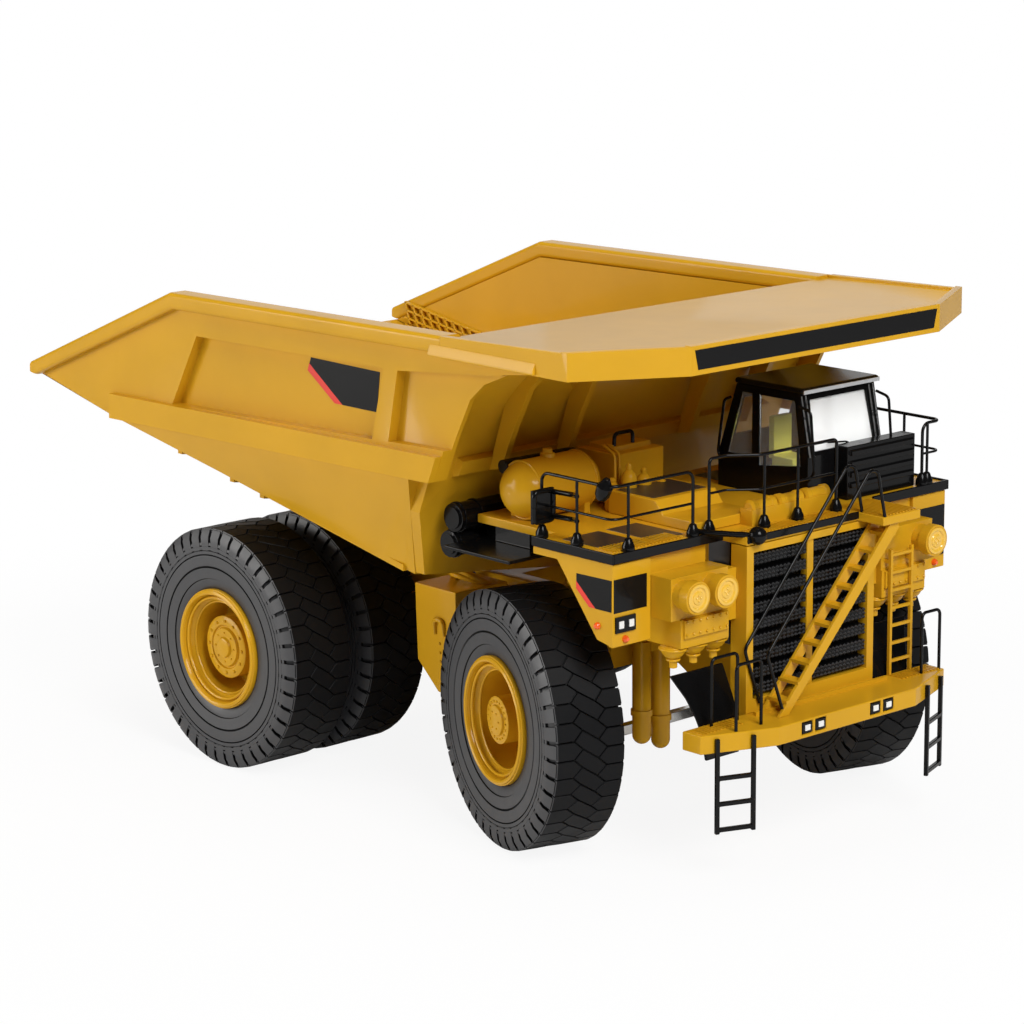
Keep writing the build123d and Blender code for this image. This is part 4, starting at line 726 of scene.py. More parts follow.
class TRUCK_OT_castings(bpy.types.Operator):
    """Cast and pressed pieces that keep their shape and get rounded edges and paint"""

    bl_idname = "truck.castings"
    bl_label = "Castings"

    def execute(self, context):
        slots = {part["node"]: part["material_slot"] for part in frame["record"]["subparts"]}
        for node in sorted(frame["nodes"]):
            if node.startswith("tyre_"):
                continue
            slot = slots[node]
            piece = dressed_copy(node, slot, EDGES.get(node, sizes().edge_radius))
            seat_piece(piece, body_of_node(node), [node])
        return {"FINISHED"}


# Wheels: flange rings, hub bolts and caps
# (radius, depth below the tyre's side, thickness) of the rings round a rim
RIM_RINGS = [(16.7, 0.15, 0.75), (15.0, 1.1, 0.45), (13.7, 2.9, 0.4)]
# depth of a hub's face below the tyre's side
FRONT_HUB_DEPTH = 1.8
REAR_HUB_DEPTH = 3.9
# (radius, height above the hub's face) from outside to the axis
FRONT_HUB = [
    (6.5, -0.4), (6.5, 0.3), (5.9, 0.5), (4.3, 0.5), (4.1, 1.1), (3.4, 1.3), (ON_AXIS, 1.3), (ON_AXIS, -0.4),
]
REAR_HUB = [
    (9.2, -0.4), (9.2, 0.35), (8.8, 0.6), (6.6, 0.6), (6.3, 0.1), (5.9, 0.1), (5.5, 0.9), (3.1, 1.0),
    (2.8, 1.7), (2.2, 1.9), (ON_AXIS, 1.9), (ON_AXIS, -0.4),
]
# (count, radius of the ring, height above the hub's face, radius of a bolt)
FRONT_BOLTS = [(20, 5.2, 0.5, 0.34), (6, 2.4, 1.3, 0.3)]
REAR_BOLTS = [(12, 7.7, 0.6, 0.5), (8, 4.3, 0.95, 0.32)]
# the bolts of a wheel's disc: (count, radius of the ring), their height and their radius
FRONT_DISC = (24, 9.6)
REAR_DISC = (30, 11.4)
DISC_FACE = -2.0
DISC_BOLT = 0.5


def bolt_ring(form, matrix, count, radius, height, size, finish="yellow_paint"):
    """Domed bolts in a ring about the matrix's z axis."""
    bolt = Form()
    dome = [
        (size, height - 0.2),
        (size, height + size * 0.5),
        (size * 0.6, height + size * 0.9),
        (ON_AXIS, height + size),
    ]
    bolt.lathe(dome, Matrix.Translation((radius, 0, 0)), segments=8, closed=False)
    form.take(repeated(bolt, count, turn=math.tau / count, finish=finish), matrix)


def bolt_row(form, place, outward, size, height, count, step):
    """Flat bolts in a row along a step, standing out of a wall."""
    bolt = Form()
    profile = [(size, -0.1), (size, height - 0.15), (0.2, height), (ON_AXIS, height)]
    bolt.lathe(profile, axis_frame(place, outward), segments=8, closed=False)
    form.take(repeated(bolt, count, step=step))


def round_ring(form, matrix, radius, height, thickness, segments=72):
    """A ring of round section."""
    section = [
        (radius + thickness * math.cos(a), height + thickness * math.sin(a))
        for a in (math.tau * k / 8 for k in range(8))
    ]
    form.lathe(section, matrix, segments=segments)


def wheel_details(node, tyre, depth, hub, bolts, disc):
    """Rings, hub face and bolts on one rim, placed by the tyre's middle."""
    body = body_of_node(node)
    matrix = wheel_frame(body)
    low, high = node_box(tyre)
    matrix.translation = (low + high) / 2
    half = TYRE_WIDTH / 2
    face = half - depth
    form = Form()
    for radius, sunk, thickness in RIM_RINGS:
        round_ring(form, matrix, radius, half - sunk, thickness)
    form.lathe([(radius, face + rise) for radius, rise in hub], matrix, closed=False)
    for count, radius, rise, size in bolts:
        bolt_ring(form, matrix, count, radius, face + rise, size)
    bolt_ring(form, matrix, *disc, DISC_FACE, DISC_BOLT)
    finished(form, f"{node}_details", "yellow_paint", body)


class TRUCK_OT_wheels(bpy.types.Operator):
    """Flange rings, hub faces, bolts and caps of the wheels"""

    bl_idname = "truck.wheels"
    bl_label = "Wheel details"

    def execute(self, context):
        front = (FRONT_HUB_DEPTH, FRONT_HUB, FRONT_BOLTS, FRONT_DISC)
        rear = (REAR_HUB_DEPTH, REAR_HUB, REAR_BOLTS, REAR_DISC)
        for side in ("right", "left"):
            wheel_details(f"wheel_front_{side}", f"tyre_front_{side}", *front)
            wheel_details(f"wheels_rear_{side}", f"tyre_rear_{side}_outer", *rear)
        return {"FINISHED"}


# Blank plates with red stripes, and the canopy's band
# corners as (x, z) on a side
SIDE_BLANK = [(-4.2, 126.3), (25.5, 126.0), (24.0, 114.7), (5.9, 114.7), (-5.7, 122.5)]
SIDE_STRIPE = [(-5.7, 122.5), (5.9, 114.7), (9.3, 114.7), (-5.0, 124.6)]
FENDER_BLANK = [(97.5, 81.8), (110.6, 82.0), (110.5, 73.6), (102.3, 73.6), (97.4, 77.8)]
FENDER_STRIPE = [(97.4, 77.8), (102.3, 73.6), (104.6, 73.6), (97.4, 79.8)]
# corners as (y, z) on a front
CANOPY_BAND = [(-45.4, 136.0), (45.4, 136.0), (46.6, 141.2), (-46.6, 141.2)]
NOSE_BLANK = [(64.5, 73.3), (52.7, 73.3), (52.7, 82.2), (64.5, 82.2)]
LAMP_FRAME = [(64.1, 68.0), (57.0, 68.0), (57.0, 72.2), (64.1, 72.2)]
PLATE_THICK = 0.12
STRIPE_THICK = 0.04
LAMP_FRAME_THICK = 0.5
# how far the body's rails stand out of its side wall
RAIL_REACH = 6.0


def striped_plates(blank, stripe, blank_outline, stripe_outline, wall):
    """A plate and its stripe on both sides of the truck."""
    for side in (-1, 1):
        side_plate(blank, blank_outline, side * wall, side * PLATE_THICK)
        side_plate(stripe, stripe_outline, side * (wall + PLATE_THICK), side * STRIPE_THICK)


class TRUCK_OT_plates(bpy.types.Operator):
    """Blank black plates with a slanted red stripe, and the black band of the canopy"""

    bl_idname = "truck.plates"
    bl_label = "Plates and bands"

    def execute(self, context):
        blank, stripe = Form(), Form()
        wall = node_box("bed_side_left")[1].y - RAIL_REACH
        striped_plates(blank, stripe, SIDE_BLANK, SIDE_STRIPE, wall)
        front_plate(blank, CANOPY_BAND, node_box("canopy")[1].x, PLATE_THICK)
        finished(blank, "body_plates", "plate_black", "dump_body")
        finished(stripe, "body_stripes", "stripe", "dump_body")

        blank, stripe = Form(), Form()
        corner = node_box("fenders")[1]
        striped_plates(blank, stripe, FENDER_BLANK, FENDER_STRIPE, corner.y)
        for side in (-1, 1):
            for outline, thick in ((NOSE_BLANK, PLATE_THICK), (LAMP_FRAME, LAMP_FRAME_THICK)):
                front_plate(blank, [(side * y, z) for y, z in outline], corner.x, thick)
        finished(blank, "fender_plates", "plate_black", "chassis")
        finished(stripe, "fender_stripes", "stripe", "chassis")
        return {"FINISHED"}


# Lamps: places across the truck, and turned profiles
FENDER_LAMP_Y = (58.7, 62.3)
FENDER_LAMP_Z = (69.1, 71.1)
FENDER_LAMP_HALF = 0.85
FRONT_MARKER = (60.5, 66.0)
SIDE_MARKER = (105.4, 69.2)
MARKER_REACH = 1.2
MARKER = [(0, 1.0), (0.6, 0.9), (1, 0.5)]
BUMPER_LAMP_Y = (-16.0, -10.8, 10.8, 16.0)
HEADLAMP_Y = (-47.0, -36.5, 46.0)
# (radius, height) of a headlamp's ring face
RING_FACE = [
    (3.7, 0.0), (3.7, 0.5), (3.3, 0.6), (2.9, 0.5), (2.6, 0.12), (1.9, 0.1), (1.7, 0.35), (1.3, 0.45),
    (ON_AXIS, 0.4), (ON_AXIS, 0.0),
]


def fender_lamps(white, orange):
    """Square lenses and round markers on the fenders' noses, and a marker on each side."""
    corner = node_box("fenders")[1]
    face, half = corner.x + LAMP_FRAME_THICK, FENDER_LAMP_HALF
    low_z, high_z = FENDER_LAMP_Z
    for side in (-1, 1):
        for y in FENDER_LAMP_Y:
            white.box((face - 0.1, side * y - half, low_z), (face + 0.35, side * y + half, high_z))
        y, z = FRONT_MARKER
        turned(orange, (corner.x - 0.1, side * y, z), (corner.x + MARKER_REACH, side * y, z), MARKER)
        x, z = SIDE_MARKER
        turned(orange, (x, side * (corner.y - 0.1), z), (x, side * (corner.y + 1.1), z), MARKER)


def bumper_lamps(white, black):
    """Small square lamps in black frames on the bumper's face."""
    low, high = node_box("bumper")
    # the frames are let into the face
    x, middle = high.x - 0.8, (low.z + high.z) / 2 + 0.2
    for y in BUMPER_LAMP_Y:
        black.box((x - 0.05, y - 1.9, middle - 1.5), (x + 0.75, y + 1.9, middle + 1.5))
        white.box((x + 0.5, y - 1.0, middle - 0.8), (x + 1.0, y + 1.0, middle + 0.8))


def headlamp_faces(gold):
    """Ring faces in the headlamps, each with four studs round its middle."""
    low, high = node_box("headlamps")
    for y in HEADLAMP_Y:
        matrix = axis_frame((high.x, y, (low.z + high.z) / 2), (1, 0, 0))
        gold.lathe(RING_FACE, matrix, segments=40, closed=False)
        bolt_ring(gold, matrix, 4, 0.75, 0.4, 0.34, "lamp_lens")


class TRUCK_OT_lamps(bpy.types.Operator):
    """Lenses and ring faces of the lamps on the fenders, lamp boxes and bumper"""

    bl_idname = "truck.lamps"
    bl_label = "Lamps"

    def execute(self, context):
        white, orange, black, gold = Form(), Form(), Form(), Form()
        fender_lamps(white, orange)
        bumper_lamps(white, black)
        headlamp_faces(gold)
        finished(white, "small_lamps", "white_lens", "chassis", 0.15)
        finished(orange, "marker_lamps", "orange_lens", "chassis")
        finished(black, "bumper_lamp_frames", "black_paint", "chassis", width_mm=0.2)
        finished(gold, "lamp_faces", "lamp_lens", "chassis")
        return {"FINISHED"}


# Grille: slats up and studs across each half; shares are of a slat or of a stud's pitch
SLATS = 9
STUDS = 14
STUD_LINES = (0.28, 0.52, 0.76)
STUD_HALF_WIDTH = 0.48
STUD_HALF_HEIGHT = 0.118
STUD_REACH = 0.7
GRILLE_MIDDLE = 1.4
GRILLE_MARGIN = 1.25


class TRUCK_OT_grille(bpy.types.Operator):
    """Diamond dimples on the grille's black slats"""

    bl_idname = "truck.grille"
    bl_label = "Grille dimples"

    def execute(self, context):
        low, high = node_box("grille_slats")
        slat = (high.z - low.z) / SLATS
        pitch = (high.y - GRILLE_MARGIN) / STUDS
        across = Vector((0.0, pitch * STUD_HALF_WIDTH, 0.0))
        upwards = Vector((0.0, 0.0, slat * STUD_HALF_HEIGHT))
        dimples = Form()
        for side in (-1, 1):
            for row in range(SLATS):
                for line in STUD_LINES:
                    centre = Vector((high.x, GRILLE_MIDDLE + pitch * 0.5, low.z + slat * (row + line)))
                    ring = [centre + across, centre + upwards, centre - across, centre - upwards]
                    tip = centre + Vector((STUD_REACH, 0, 0))
                    stud = Form()
                    for here, after in zip(ring, ring[1:] + ring[:1]):
                        stud.face([here, after, tip])
                    stud.face(list(reversed(ring)))
                    mesh = repeated(stud, STUDS, step=(0.0, pitch, 0.0), finish="black_metal")
                    dimples.take(mesh, Matrix.Scale(side, 4, (0, 1, 0)))
        finished(dimples, "grille_dimples", "black_metal", "chassis", smooth_angle=10.0)
        return {"FINISHED"}


# Deck: edging, post cups, treads and patches
EDGE_THICK = 0.7
EDGE_DROP = 2.2
EDGE_RISE = 0.5
WALKWAY_EDGE_END = 17.9
# (x from, x to, y from, y to) of the anti-slip patches
PATCHES = [
    (88.0, 106.0, -61.0, -48.0),
    (88.0, 106.0, -45.0, -34.0),
    (56.0, 72.0, 20.0, 40.0),
    (88.0, 100.0, 50.0, 60.0),
]
PATCH_RISE = 0.1
# how deep a raised piece is let into what it lies on
SUNK = 0.02
TREAD_WIDTH = 0.55
TREAD_RISE = 0.32
TREAD_STEP = 1.3
# (share of the length, radius) of a handrail post's cup
POST_CUP = [(0, 1.6), (0.15, 1.75), (0.45, 1.7), (0.7, 1.25), (0.9, 1.0), (1, 0.6)]
POST_CUP_HEIGHT = 3.6
BALL_RADIUS = 2.5


def deck_edging(edging, nose, side_y, top):
    """Black angles along the deck's front and side edges and along the walkway."""
    grille_low, grille_high = node_box("grille")
    rear = node_box("fenders")[0].x
    low_z, high_z = top - EDGE_DROP, top + EDGE_RISE
    outside = side_y + EDGE_THICK
    for side, inner in ((-1, grille_high.y), (1, 34.0)):
        y0, y1 = sorted((side * side_y, side * inner))
        edging.box((nose, y0, low_z), (nose + EDGE_THICK, y1, high_z))
        y0, y1 = sorted((side * side_y, side * outside))
        edging.box((rear, y0, low_z), (nose + EDGE_THICK, y1, high_z))
    edging.box(
        (grille_high.x, grille_low.y, top - 1.7),
        (grille_high.x + 0.6, WALKWAY_EDGE_END, top + 0.3),
    )


def post_cups(cups, nose, side_y, top):
    """Rubber cups at the feet of the handrail's posts."""
    rear_x, front_x = node_box("fenders")[0].x + 2.2, nose - 1.2
    outer, walkway_x = side_y - 1.2, nose + 4.5
    posts = [(nose - 1.1, -28.7), (walkway_x, -13.6), (walkway_x, -0.7), (walkway_x, 14.4)]
    for side, inner in ((-1, 34.6), (1, 56.0)):
        posts += [(rear_x, side * outer), ((rear_x + front_x) / 2, side * outer)]
        posts += [(front_x, side * (outer - 5.5)), (front_x, side * inner)]
    for x, y in posts:
        turned(cups, (x, y, top - 0.2), (x, y, top + POST_CUP_HEIGHT), POST_CUP, 20)


def walkway_corner(edging, cups, nose, top):
    """A ball on an arm at the walkway's corner."""
    grille_low, grille_high = node_box("grille")
    corner = Vector((grille_high.x + 1.0, grille_low.y + 2.9, top + 0.2))
    turns = [math.pi - math.pi * k / 12 for k in range(1, 12)]
    ball = [(math.cos(a) / 2 + 0.5, BALL_RADIUS * math.sin(a)) for a in turns]
    reach = Vector((0, 0, BALL_RADIUS))
    turned(cups, corner - reach, corner + reach, ball, 24)
    arm = [corner, (nose + 1.2, -31.0, top + 0.9), (nose - 4.0, -33.0, top + 0.9)]
    tube(edging, arm, 0.8, 2.0)


def anti_slip_patches(patches, top):
    """Thin dark patches on the deck and on the hood."""
    for x0, x1, y0, y1 in PATCHES:
        patches.box((x0, y0, top - SUNK), (x1, y1, top + PATCH_RISE))
    low, high = node_box("hood")
    patches.box(
        (low.x + 1.5, low.y + 1.5, high.z - SUNK), (high.x - 18.0, -9.5, high.z + PATCH_RISE)
    )


def raised_treads(treads, nose, top):
    """Bars across the walkway, the deck's wings and the bumper's steps."""
    deck_front, walkway_front = node_box("deck")[1].x, node_box("grille")[1].x
    bumper = node_box("bumper")[1]
    step_rear, step_front = bumper.x - 13.6, bumper.x - 8.4
    # x from, x to, first y, count, height of the floor
    for x0, x1, y0, count, floor in (
        (nose + 3.0, walkway_front - 0.6, -24.0, 31, top),
        (nose + 0.8, deck_front - 0.8, 18.8, 11, top),
        (nose - 9.0, nose - 2.4, -62.5, 20, top),
        (nose - 22.0, nose - 9.4, 50.0, 9, top),
        (step_rear, step_front, -46.6, 12, bumper.z),
        (step_rear, step_front, 31.4, 12, bumper.z),
    ):
        bar = Form()
        bar.box((x0, y0, floor - SUNK), (x1, y0 + TREAD_WIDTH, floor + TREAD_RISE))
        treads.take(repeated(bar, count, step=(0.0, TREAD_STEP, 0.0)))
    # a low kerb along the bumper's middle
    treads.box(
        (bumper.x - 12.2, -24.0, bumper.z - SUNK), (bumper.x - 11.2, 28.0, bumper.z + 1.0)
    )


class TRUCK_OT_deck_trim(bpy.types.Operator):
    """Black edging, rubber post cups, anti-slip patches and raised treads of the deck"""

    bl_idname = "truck.deck_trim"
    bl_label = "Deck trim"

    def execute(self, context):
        top = node_box("deck")[1].z
        corner = node_box("fenders")[1]
        edging, cups, patches, treads = Form(), Form(), Form(), Form()
        deck_edging(edging, corner.x, corner.y, top)
        post_cups(cups, corner.x, corner.y, top)
        walkway_corner(edging, cups, corner.x, top)
        anti_slip_patches(patches, top)
        raised_treads(treads, corner.x, top)
        finished(edging, "deck_edging", "black_paint", "chassis", width_mm=0.2)
        finished(cups, "post_cups", "black_paint", "chassis")
        finished(patches, "anti_slip_patches", "black_metal", "chassis")
        finished(treads, "deck_treads", "yellow_paint", "chassis")
        return {"FINISHED"}


# Equipment: (share of the length, radius) of turned pieces
FILLER_CAP = [(0, 2.0), (0.5, 2.0), (0.6, 1.4), (1, 1.3)]
BOTTLE = [(0, 1.9), (0.1, 2.1), (0.72, 2.1), (0.8, 1.5), (0.86, 0.8), (0.94, 0.9), (1.0, 0.5)]
SPARE_LAMP = [(0, 1.4), (0.2, 2.0), (0.6, 2.2), (0.8, 1.4), (1, 0.8)]
CANISTER = [(0, 1.3), (0.06, 2.1), (0.2, 2.1), (0.24, 1.8), (0.76, 1.8), (0.8, 2.1), (0.94, 2.1), (1, 1.3)]
# (x, z, radius) of the two air cleaners, and places of their straps along them
CLEANERS = ((45.8, 87.6, 3.9), (44.0, 80.0, 3.7))
STRAP_Y = (-60.5, -54.5, -36.0)
STRAP_HALF = 0.4
STRAP_THICK = 0.35
# (x, y, height) of the bottles beside the cabinet
BOTTLES = [(75.5, -24.5, 13.0), (75.5, -19.0, 11.0), (72.5, -28.0, 9.0), (76.0, -13.0, 8.0)]
CANISTER_Y = (-14.2, -3.8, 6.6)
CANISTER_LENGTH = 9.6
# places across the truck of a lamp box's first and last bolts, and of the accumulators
BOX_BOLT_Y = (31.6, 46.4)
ACCUMULATOR_Y = (31.6, 39.0, 46.4)


def deck_tank_details(gold, black):
    """Bands and filler cap of the round tank, the duct behind it and the cleaners' straps."""
    low, high = node_box("deck_tank")
    middle_x, radius = (low.x + high.x) / 2, (high.x - low.x) / 2
    for y in (-53.2, -33.0):
        band = axis_frame((middle_x, y, high.z - radius), (0, 1, 0))
        round_ring(gold, band, radius - 0.15, 0.0, 0.32)
    duct_x, duct_z = middle_x - 7.0, high.z - 2.6
    duct = [(duct_x, -54.0, duct_z), (duct_x, -28.0, duct_z), (middle_x - 12.0, -24.0, high.z - 5.0)]
    tube(black, duct, 1.9, 4.0, 20)
    turned(gold, (middle_x, -44.0, high.z - 0.4), (middle_x, -44.0, high.z + 2.0), FILLER_CAP)
    for x, z, size in CLEANERS:
        outside = size + STRAP_THICK
        strap = [(size, -STRAP_HALF), (outside, -STRAP_HALF), (outside, STRAP_HALF), (size, STRAP_HALF)]
        for y in STRAP_Y:
            black.lathe(strap, axis_frame((x, y, z), (0, 1, 0)), segments=40)


def cabinet_details(gold, black):
    """Bottles and pipes beside the cabinet, and the handle on it."""
    low, high = node_box("cabinet")
    base = low.z
    for x, y, height in BOTTLES:
        turned(gold, (x, y, base), (x, y, base + height), BOTTLE, 24)
    front_x, rear_x = 71.5, 66.0
    for y in (-26.0, -24.2):
        pipe = [(front_x, y, base), (front_x, y, base + 15.0), (rear_x, y, base + 17.0)]
        tube(gold, pipe + [(rear_x, -18.0, base + 14.0)], 0.4)
    foot_z, grip_z = high.z - 0.3, high.z + 3.4
    handle = [(-21.0, foot_z), (-21.0, grip_z), (-14.0, grip_z), (-14.0, foot_z)]
    tube(black, [(rear_x, y, z) for y, z in handle], 0.55, 1.6)


def mirror_and_spare_lamp(black):
    """The mirror on its two arms beside the right rail, and a spare lamp on the rail."""
    post_x, post_y, rim_x = 96.4, -63.6, 84.6
    black.box((83.6, -68.2, 93.0), (84.5, -60.6, 102.0))
    outer, inner, low_z, high_z = -67.8, -61.0, 93.4, 101.6
    start = (outer, 97.5)
    rim = [start, (outer, high_z), (inner, high_z), (inner, low_z), (outer, low_z), start]
    tube(black, [(rim_x, y, z) for y, z in rim], 0.7, 1.6)
    for z in (94.4, 101.0):
        tube(black, [(85.0, -61.4, z), (92.0, -60.6, z), (post_x, post_y, z + 0.8)], 0.7, 1.5)
    turned(black, (105.4, post_y, 102.6), (107.8, post_y, 108.2), SPARE_LAMP, 16)


def side_tank_details(gold, node):
    """Two pipes over a tank between the axles, and a lifting eye and bolts on its side."""
    low, high = node_box(node)
    side = 1 if low.y > 0 else -1
    outer = max(abs(low.y), abs(high.y))
    top = high.z
    for shift in (0.0, 2.2):
        # x, depth inwards from the tank's side, z
        pipe = [
            (low.x + 3.0 + shift, 12.0, top - 0.2),
            (low.x + 4.0 + shift, 8.0, top + 4.6 - shift),
            (low.x + 9.0 + shift, 5.0, top + 5.4 - shift),
            (high.x - 1.0, 6.0 + shift, top + 4.0 - shift),
            (high.x - 1.5, 14.0, top - 0.2),
        ]
        tube(gold, [(x, side * (outer - depth), z) for x, depth, z in pipe], 0.7, 3.0)
    eye_x, half, foot_z, head_z = low.x + 10.5, 1.9, top - 13.4, top - 9.0
    proud = side * (outer + 0.5)
    eye = [
        (eye_x - half, side * outer, foot_z),
        (eye_x - half, proud, head_z),
        (eye_x + half, proud, head_z),
        (eye_x + half, side * outer, foot_z),
    ]
    tube(gold, eye, 0.7, 1.8)
    first = (eye_x, side * outer, top - 16.0)
    bolt_row(gold, first, (0, side, 0), 0.4, 0.4, 5, (0.15, 0.0, -2.6))


def walkway_box(gold):
    """The low valve box on the walkway, with three canisters lying on it."""
    base = node_box("cabinet")[0].z
    x0, width, height = node_box("grille")[1].x - 12.2, 4.4, 4.4
    gold.box((x0, -15.0, base - SUNK), (x0 + width, 17.0, base + height))
    x, z = x0 + width / 2, base + 4.6
    for y in CANISTER_Y:
        turned(gold, (x, y, z), (x, y + CANISTER_LENGTH, z), CANISTER, 24)


def lamp_box_details(gold):
    """Two rows of bolts on each lamp box, and collars of the accumulators below."""
    front = node_box("grille")[1].x - 0.8
    low, high = node_box("accumulators")
    inner, outer = BOX_BOLT_Y
    for side in (-1, 1):
        for z in (65.9, 69.2):
            first = (front, min(side * inner, side * outer), z)
            bolt_row(gold, first, (1, 0, 0), 0.36, 0.45, 7, (0.0, 2.46, 0.0))
        for y in ACCUMULATOR_Y:
            for drop, size in ((0.6, 3.6), (3.6, 1.6)):
                collar = axis_frame(((low.x + high.x) / 2, side * y, high.z - drop), (0, 0, 1))
                round_ring(gold, collar, size, 0.0, 0.35, 40)


class TRUCK_OT_equipment(bpy.types.Operator):
    """Straps, caps, canisters, pipes, mirror and small fittings on the deck and the sides"""

    bl_idname = "truck.equipment"
    bl_label = "Equipment details"

    def execute(self, context):
        gold, black = Form(), Form()
        deck_tank_details(gold, black)
        cabinet_details(gold, black)
        mirror_and_spare_lamp(black)
        for node in ("oil_tank", "fuel_tank"):
            side_tank_details(gold, node)
        walkway_box(gold)
        lamp_box_details(gold)
        finished(gold, "equipment_details", "yellow_paint", "chassis")
        finished(black, "equipment_straps", "black_paint", "chassis", width_mm=0.12)
        return {"FINISHED"}


# Cab: the windscreen's frame, and grab rails beside it
PANE_DEPTH = 0.9
PANE_THICK = 0.35
FRAME_WIDTH = 0.5
FRAME_THICK = 0.3
FRAME_PROUD = 0.02
GRAB_RADIUS = 0.4
WIPER_RADIUS = 0.25


class TRUCK_OT_cab_details(bpy.types.Operator):
    """Windscreen, bright frames with a painted highlight on the roof's edge, wiper and grab rails of the cab"""

    bl_idname = "truck.cab_details"
    bl_label = "Cab details"

    def execute(self, context):
        low, high = node_box("cab_shell")
        roof_low, roof_high = node_box("cab_roof")
        pane, trim, black = Form(), Form(), Form()
        # the front wall leans back from its foot to its head
        foot_x, head_x = high.x - 0.15, high.x - 3.3
        foot_z, head_z = high.z - 16.2, high.z - 1.4
        slope = (head_x - foot_x) / (head_z - foot_z)

        def on_slope(y, z, proud=0.0):
            return Vector((foot_x + (z - foot_z) * slope + proud, y, z))

        def strip(form, y0, y1, z0, z1, proud, thick):
            """A plate on the front wall, between two places across and two heights."""
            corners = [(y0, z0), (y1, z0), (y1, z1), (y0, z1)]
            prism(form, [on_slope(y, z, proud) for y, z in corners], (thick, 0, 0))

        strip(pane, low.y + 2.8, high.y - 2.8, foot_z, head_z, -PANE_DEPTH, PANE_THICK)
        frame_foot, frame_head = foot_z - 1.0, head_z + 0.8
        for y in (low.y + 0.4, low.y + 2.0, high.y - 2.4, high.y - 0.8):
            strip(trim, y, y + FRAME_WIDTH, frame_foot, frame_head, FRAME_PROUD, FRAME_THICK)
        # painted highlight: a bright metal strip along the roof's front edge stands in for the highlight on that
        # edge
        trim.box(
            (roof_high.x - 0.1, roof_low.y + 0.3, roof_low.z + 0.1),
            (roof_high.x + 0.25, roof_high.y - 0.3, roof_high.z - 0.5),
        )
        wiper = [
            on_slope(36.0, foot_z - 0.6, 0.5),
            on_slope(31.0, foot_z + 1.6, 0.7),
            on_slope(24.0, foot_z + 2.2, 0.6),
        ]
        tube(black, wiper, WIPER_RADIUS, 0.5)
        # x and z of the rails at the cab's front and rear corners
        front_rail = [
            (high.x - 3.0, high.z - 3.0),
            (high.x + 1.6, high.z - 4.0),
            (high.x + 3.2, low.z + 9.0),
            (high.x + 0.4, low.z + 6.0),
        ]
        rear_rail = [
            (low.x + 5.5, high.z - 4.0),
            (low.x + 3.0, high.z - 5.0),
            (low.x + 0.6, low.z + 9.6),
            (low.x + 2.0, low.z + 8.0),
        ]
        for y in (low.y - 0.8, high.y + 0.8):
            for rail in (front_rail, rear_rail):
                tube(black, [(x, y, z) for x, z in rail], GRAB_RADIUS)
        finished(pane, "windscreen", "windscreen", "chassis")
        finished(trim, "cab_bright_frames", "silver_trim", "chassis", 0.08)
        finished(black, "cab_rails", "black_paint", "chassis")
        return {"FINISHED"}


# Cell strips on the inside of the body's tail walls
CELL_COLUMNS = 9
CELL_ROWS = 3
CELL_HEIGHT = 2.5
CELL_LINE = 0.7
CELL_LEAN = 2.2
CELL_DEPTH = 1.3
# the strips' upper line: (distance from the tail, height) at its two ends
CELLS_REAR = (8.0, 112.4)
CELLS_FRONT = (44.0, 106.6)


def cell_strips(gold):
    """Bars along and across the strips, which follow the body's rising tail."""
    low = node_box("bed_side_left")[0]
    (x0, z0), (x1, z1) = ((low.x + along, height) for along, height in (CELLS_REAR, CELLS_FRONT))
    drop = (z1 - z0) / (x1 - x0)
    fall = drop * (x1 - x0)
    for side in (-1, 1):
        wall, reach = side * low.y, -side * CELL_DEPTH
        for row in range(CELL_ROWS + 1):
            z = z0 - row * CELL_HEIGHT
            line = [(x0, z - CELL_LINE), (x1, z - CELL_LINE + fall), (x1, z + fall), (x0, z)]
            side_plate(gold, line, wall, reach)
        for column in range(CELL_COLUMNS + 1):
            x = x0 + (x1 - x0) * column / CELL_COLUMNS
            head = z0 + drop * (x - x0)
            foot_x, foot = x + CELL_LEAN, head - CELL_ROWS * CELL_HEIGHT
            line = [(foot_x, foot), (foot_x + CELL_LINE, foot), (x + CELL_LINE, head), (x, head)]
            side_plate(gold, line, wall, reach)


def canopy_ledges(gold):
    """A sloped ledge along each side of the canopy."""
    low, high = node_box("canopy")
    reach, length, overlap = 0.9, 41.0, 4.0
    for side in (-1, 1):
        edge, outside = side * high.y, side * high.y + side * reach
        foot, step, head = low.z + 0.3, low.z + 1.2, low.z + 3.4
        section = [(edge, head), (outside, step), (outside, foot), (edge, foot)]
        front_plate(gold, section, low.x - overlap, length)


class TRUCK_OT_body_details(bpy.types.Operator):
    """Cell strips inside the tail walls and ledges beside the canopy"""

    bl_idname = "truck.body_details"
    bl_label = "Body details"

    def execute(self, context):
        gold = Form()
        cell_strips(gold)
        canopy_ledges(gold)
        finished(gold, "tail_floor_cells", "yellow_paint", "dump_body", width_mm=0.15)
        return {"FINISHED"}


# Stage: floor, lamps and camera
CAMERA_AIM = Vector((9.8, -8.1, 74.8))
CAMERA_DIRECTION = Vector((-0.7241, 0.6533, -0.2212))
CAMERA_DISTANCE = 970.0
CAMERA_ROLL = -0.46
CAMERA_LENS = 117.7
CAMERA_SENSOR = 36.0
CAMERA_REACH_M = 20.0
FLOOR_HALF = 4000
FLOOR_Z = -0.05
# plain white's share of the floor near the truck; it grows to the whole between two distances
FLOOR_WHITE_SHARE = 0.90
FADE_NEAR_M = 0.10
FADE_FAR_M = 0.32
WORLD_COLOUR = (1.0, 0.95, 0.90)
WORLD_STRENGTH = 0.06
WHITE = (1.0, 1.0, 1.0)
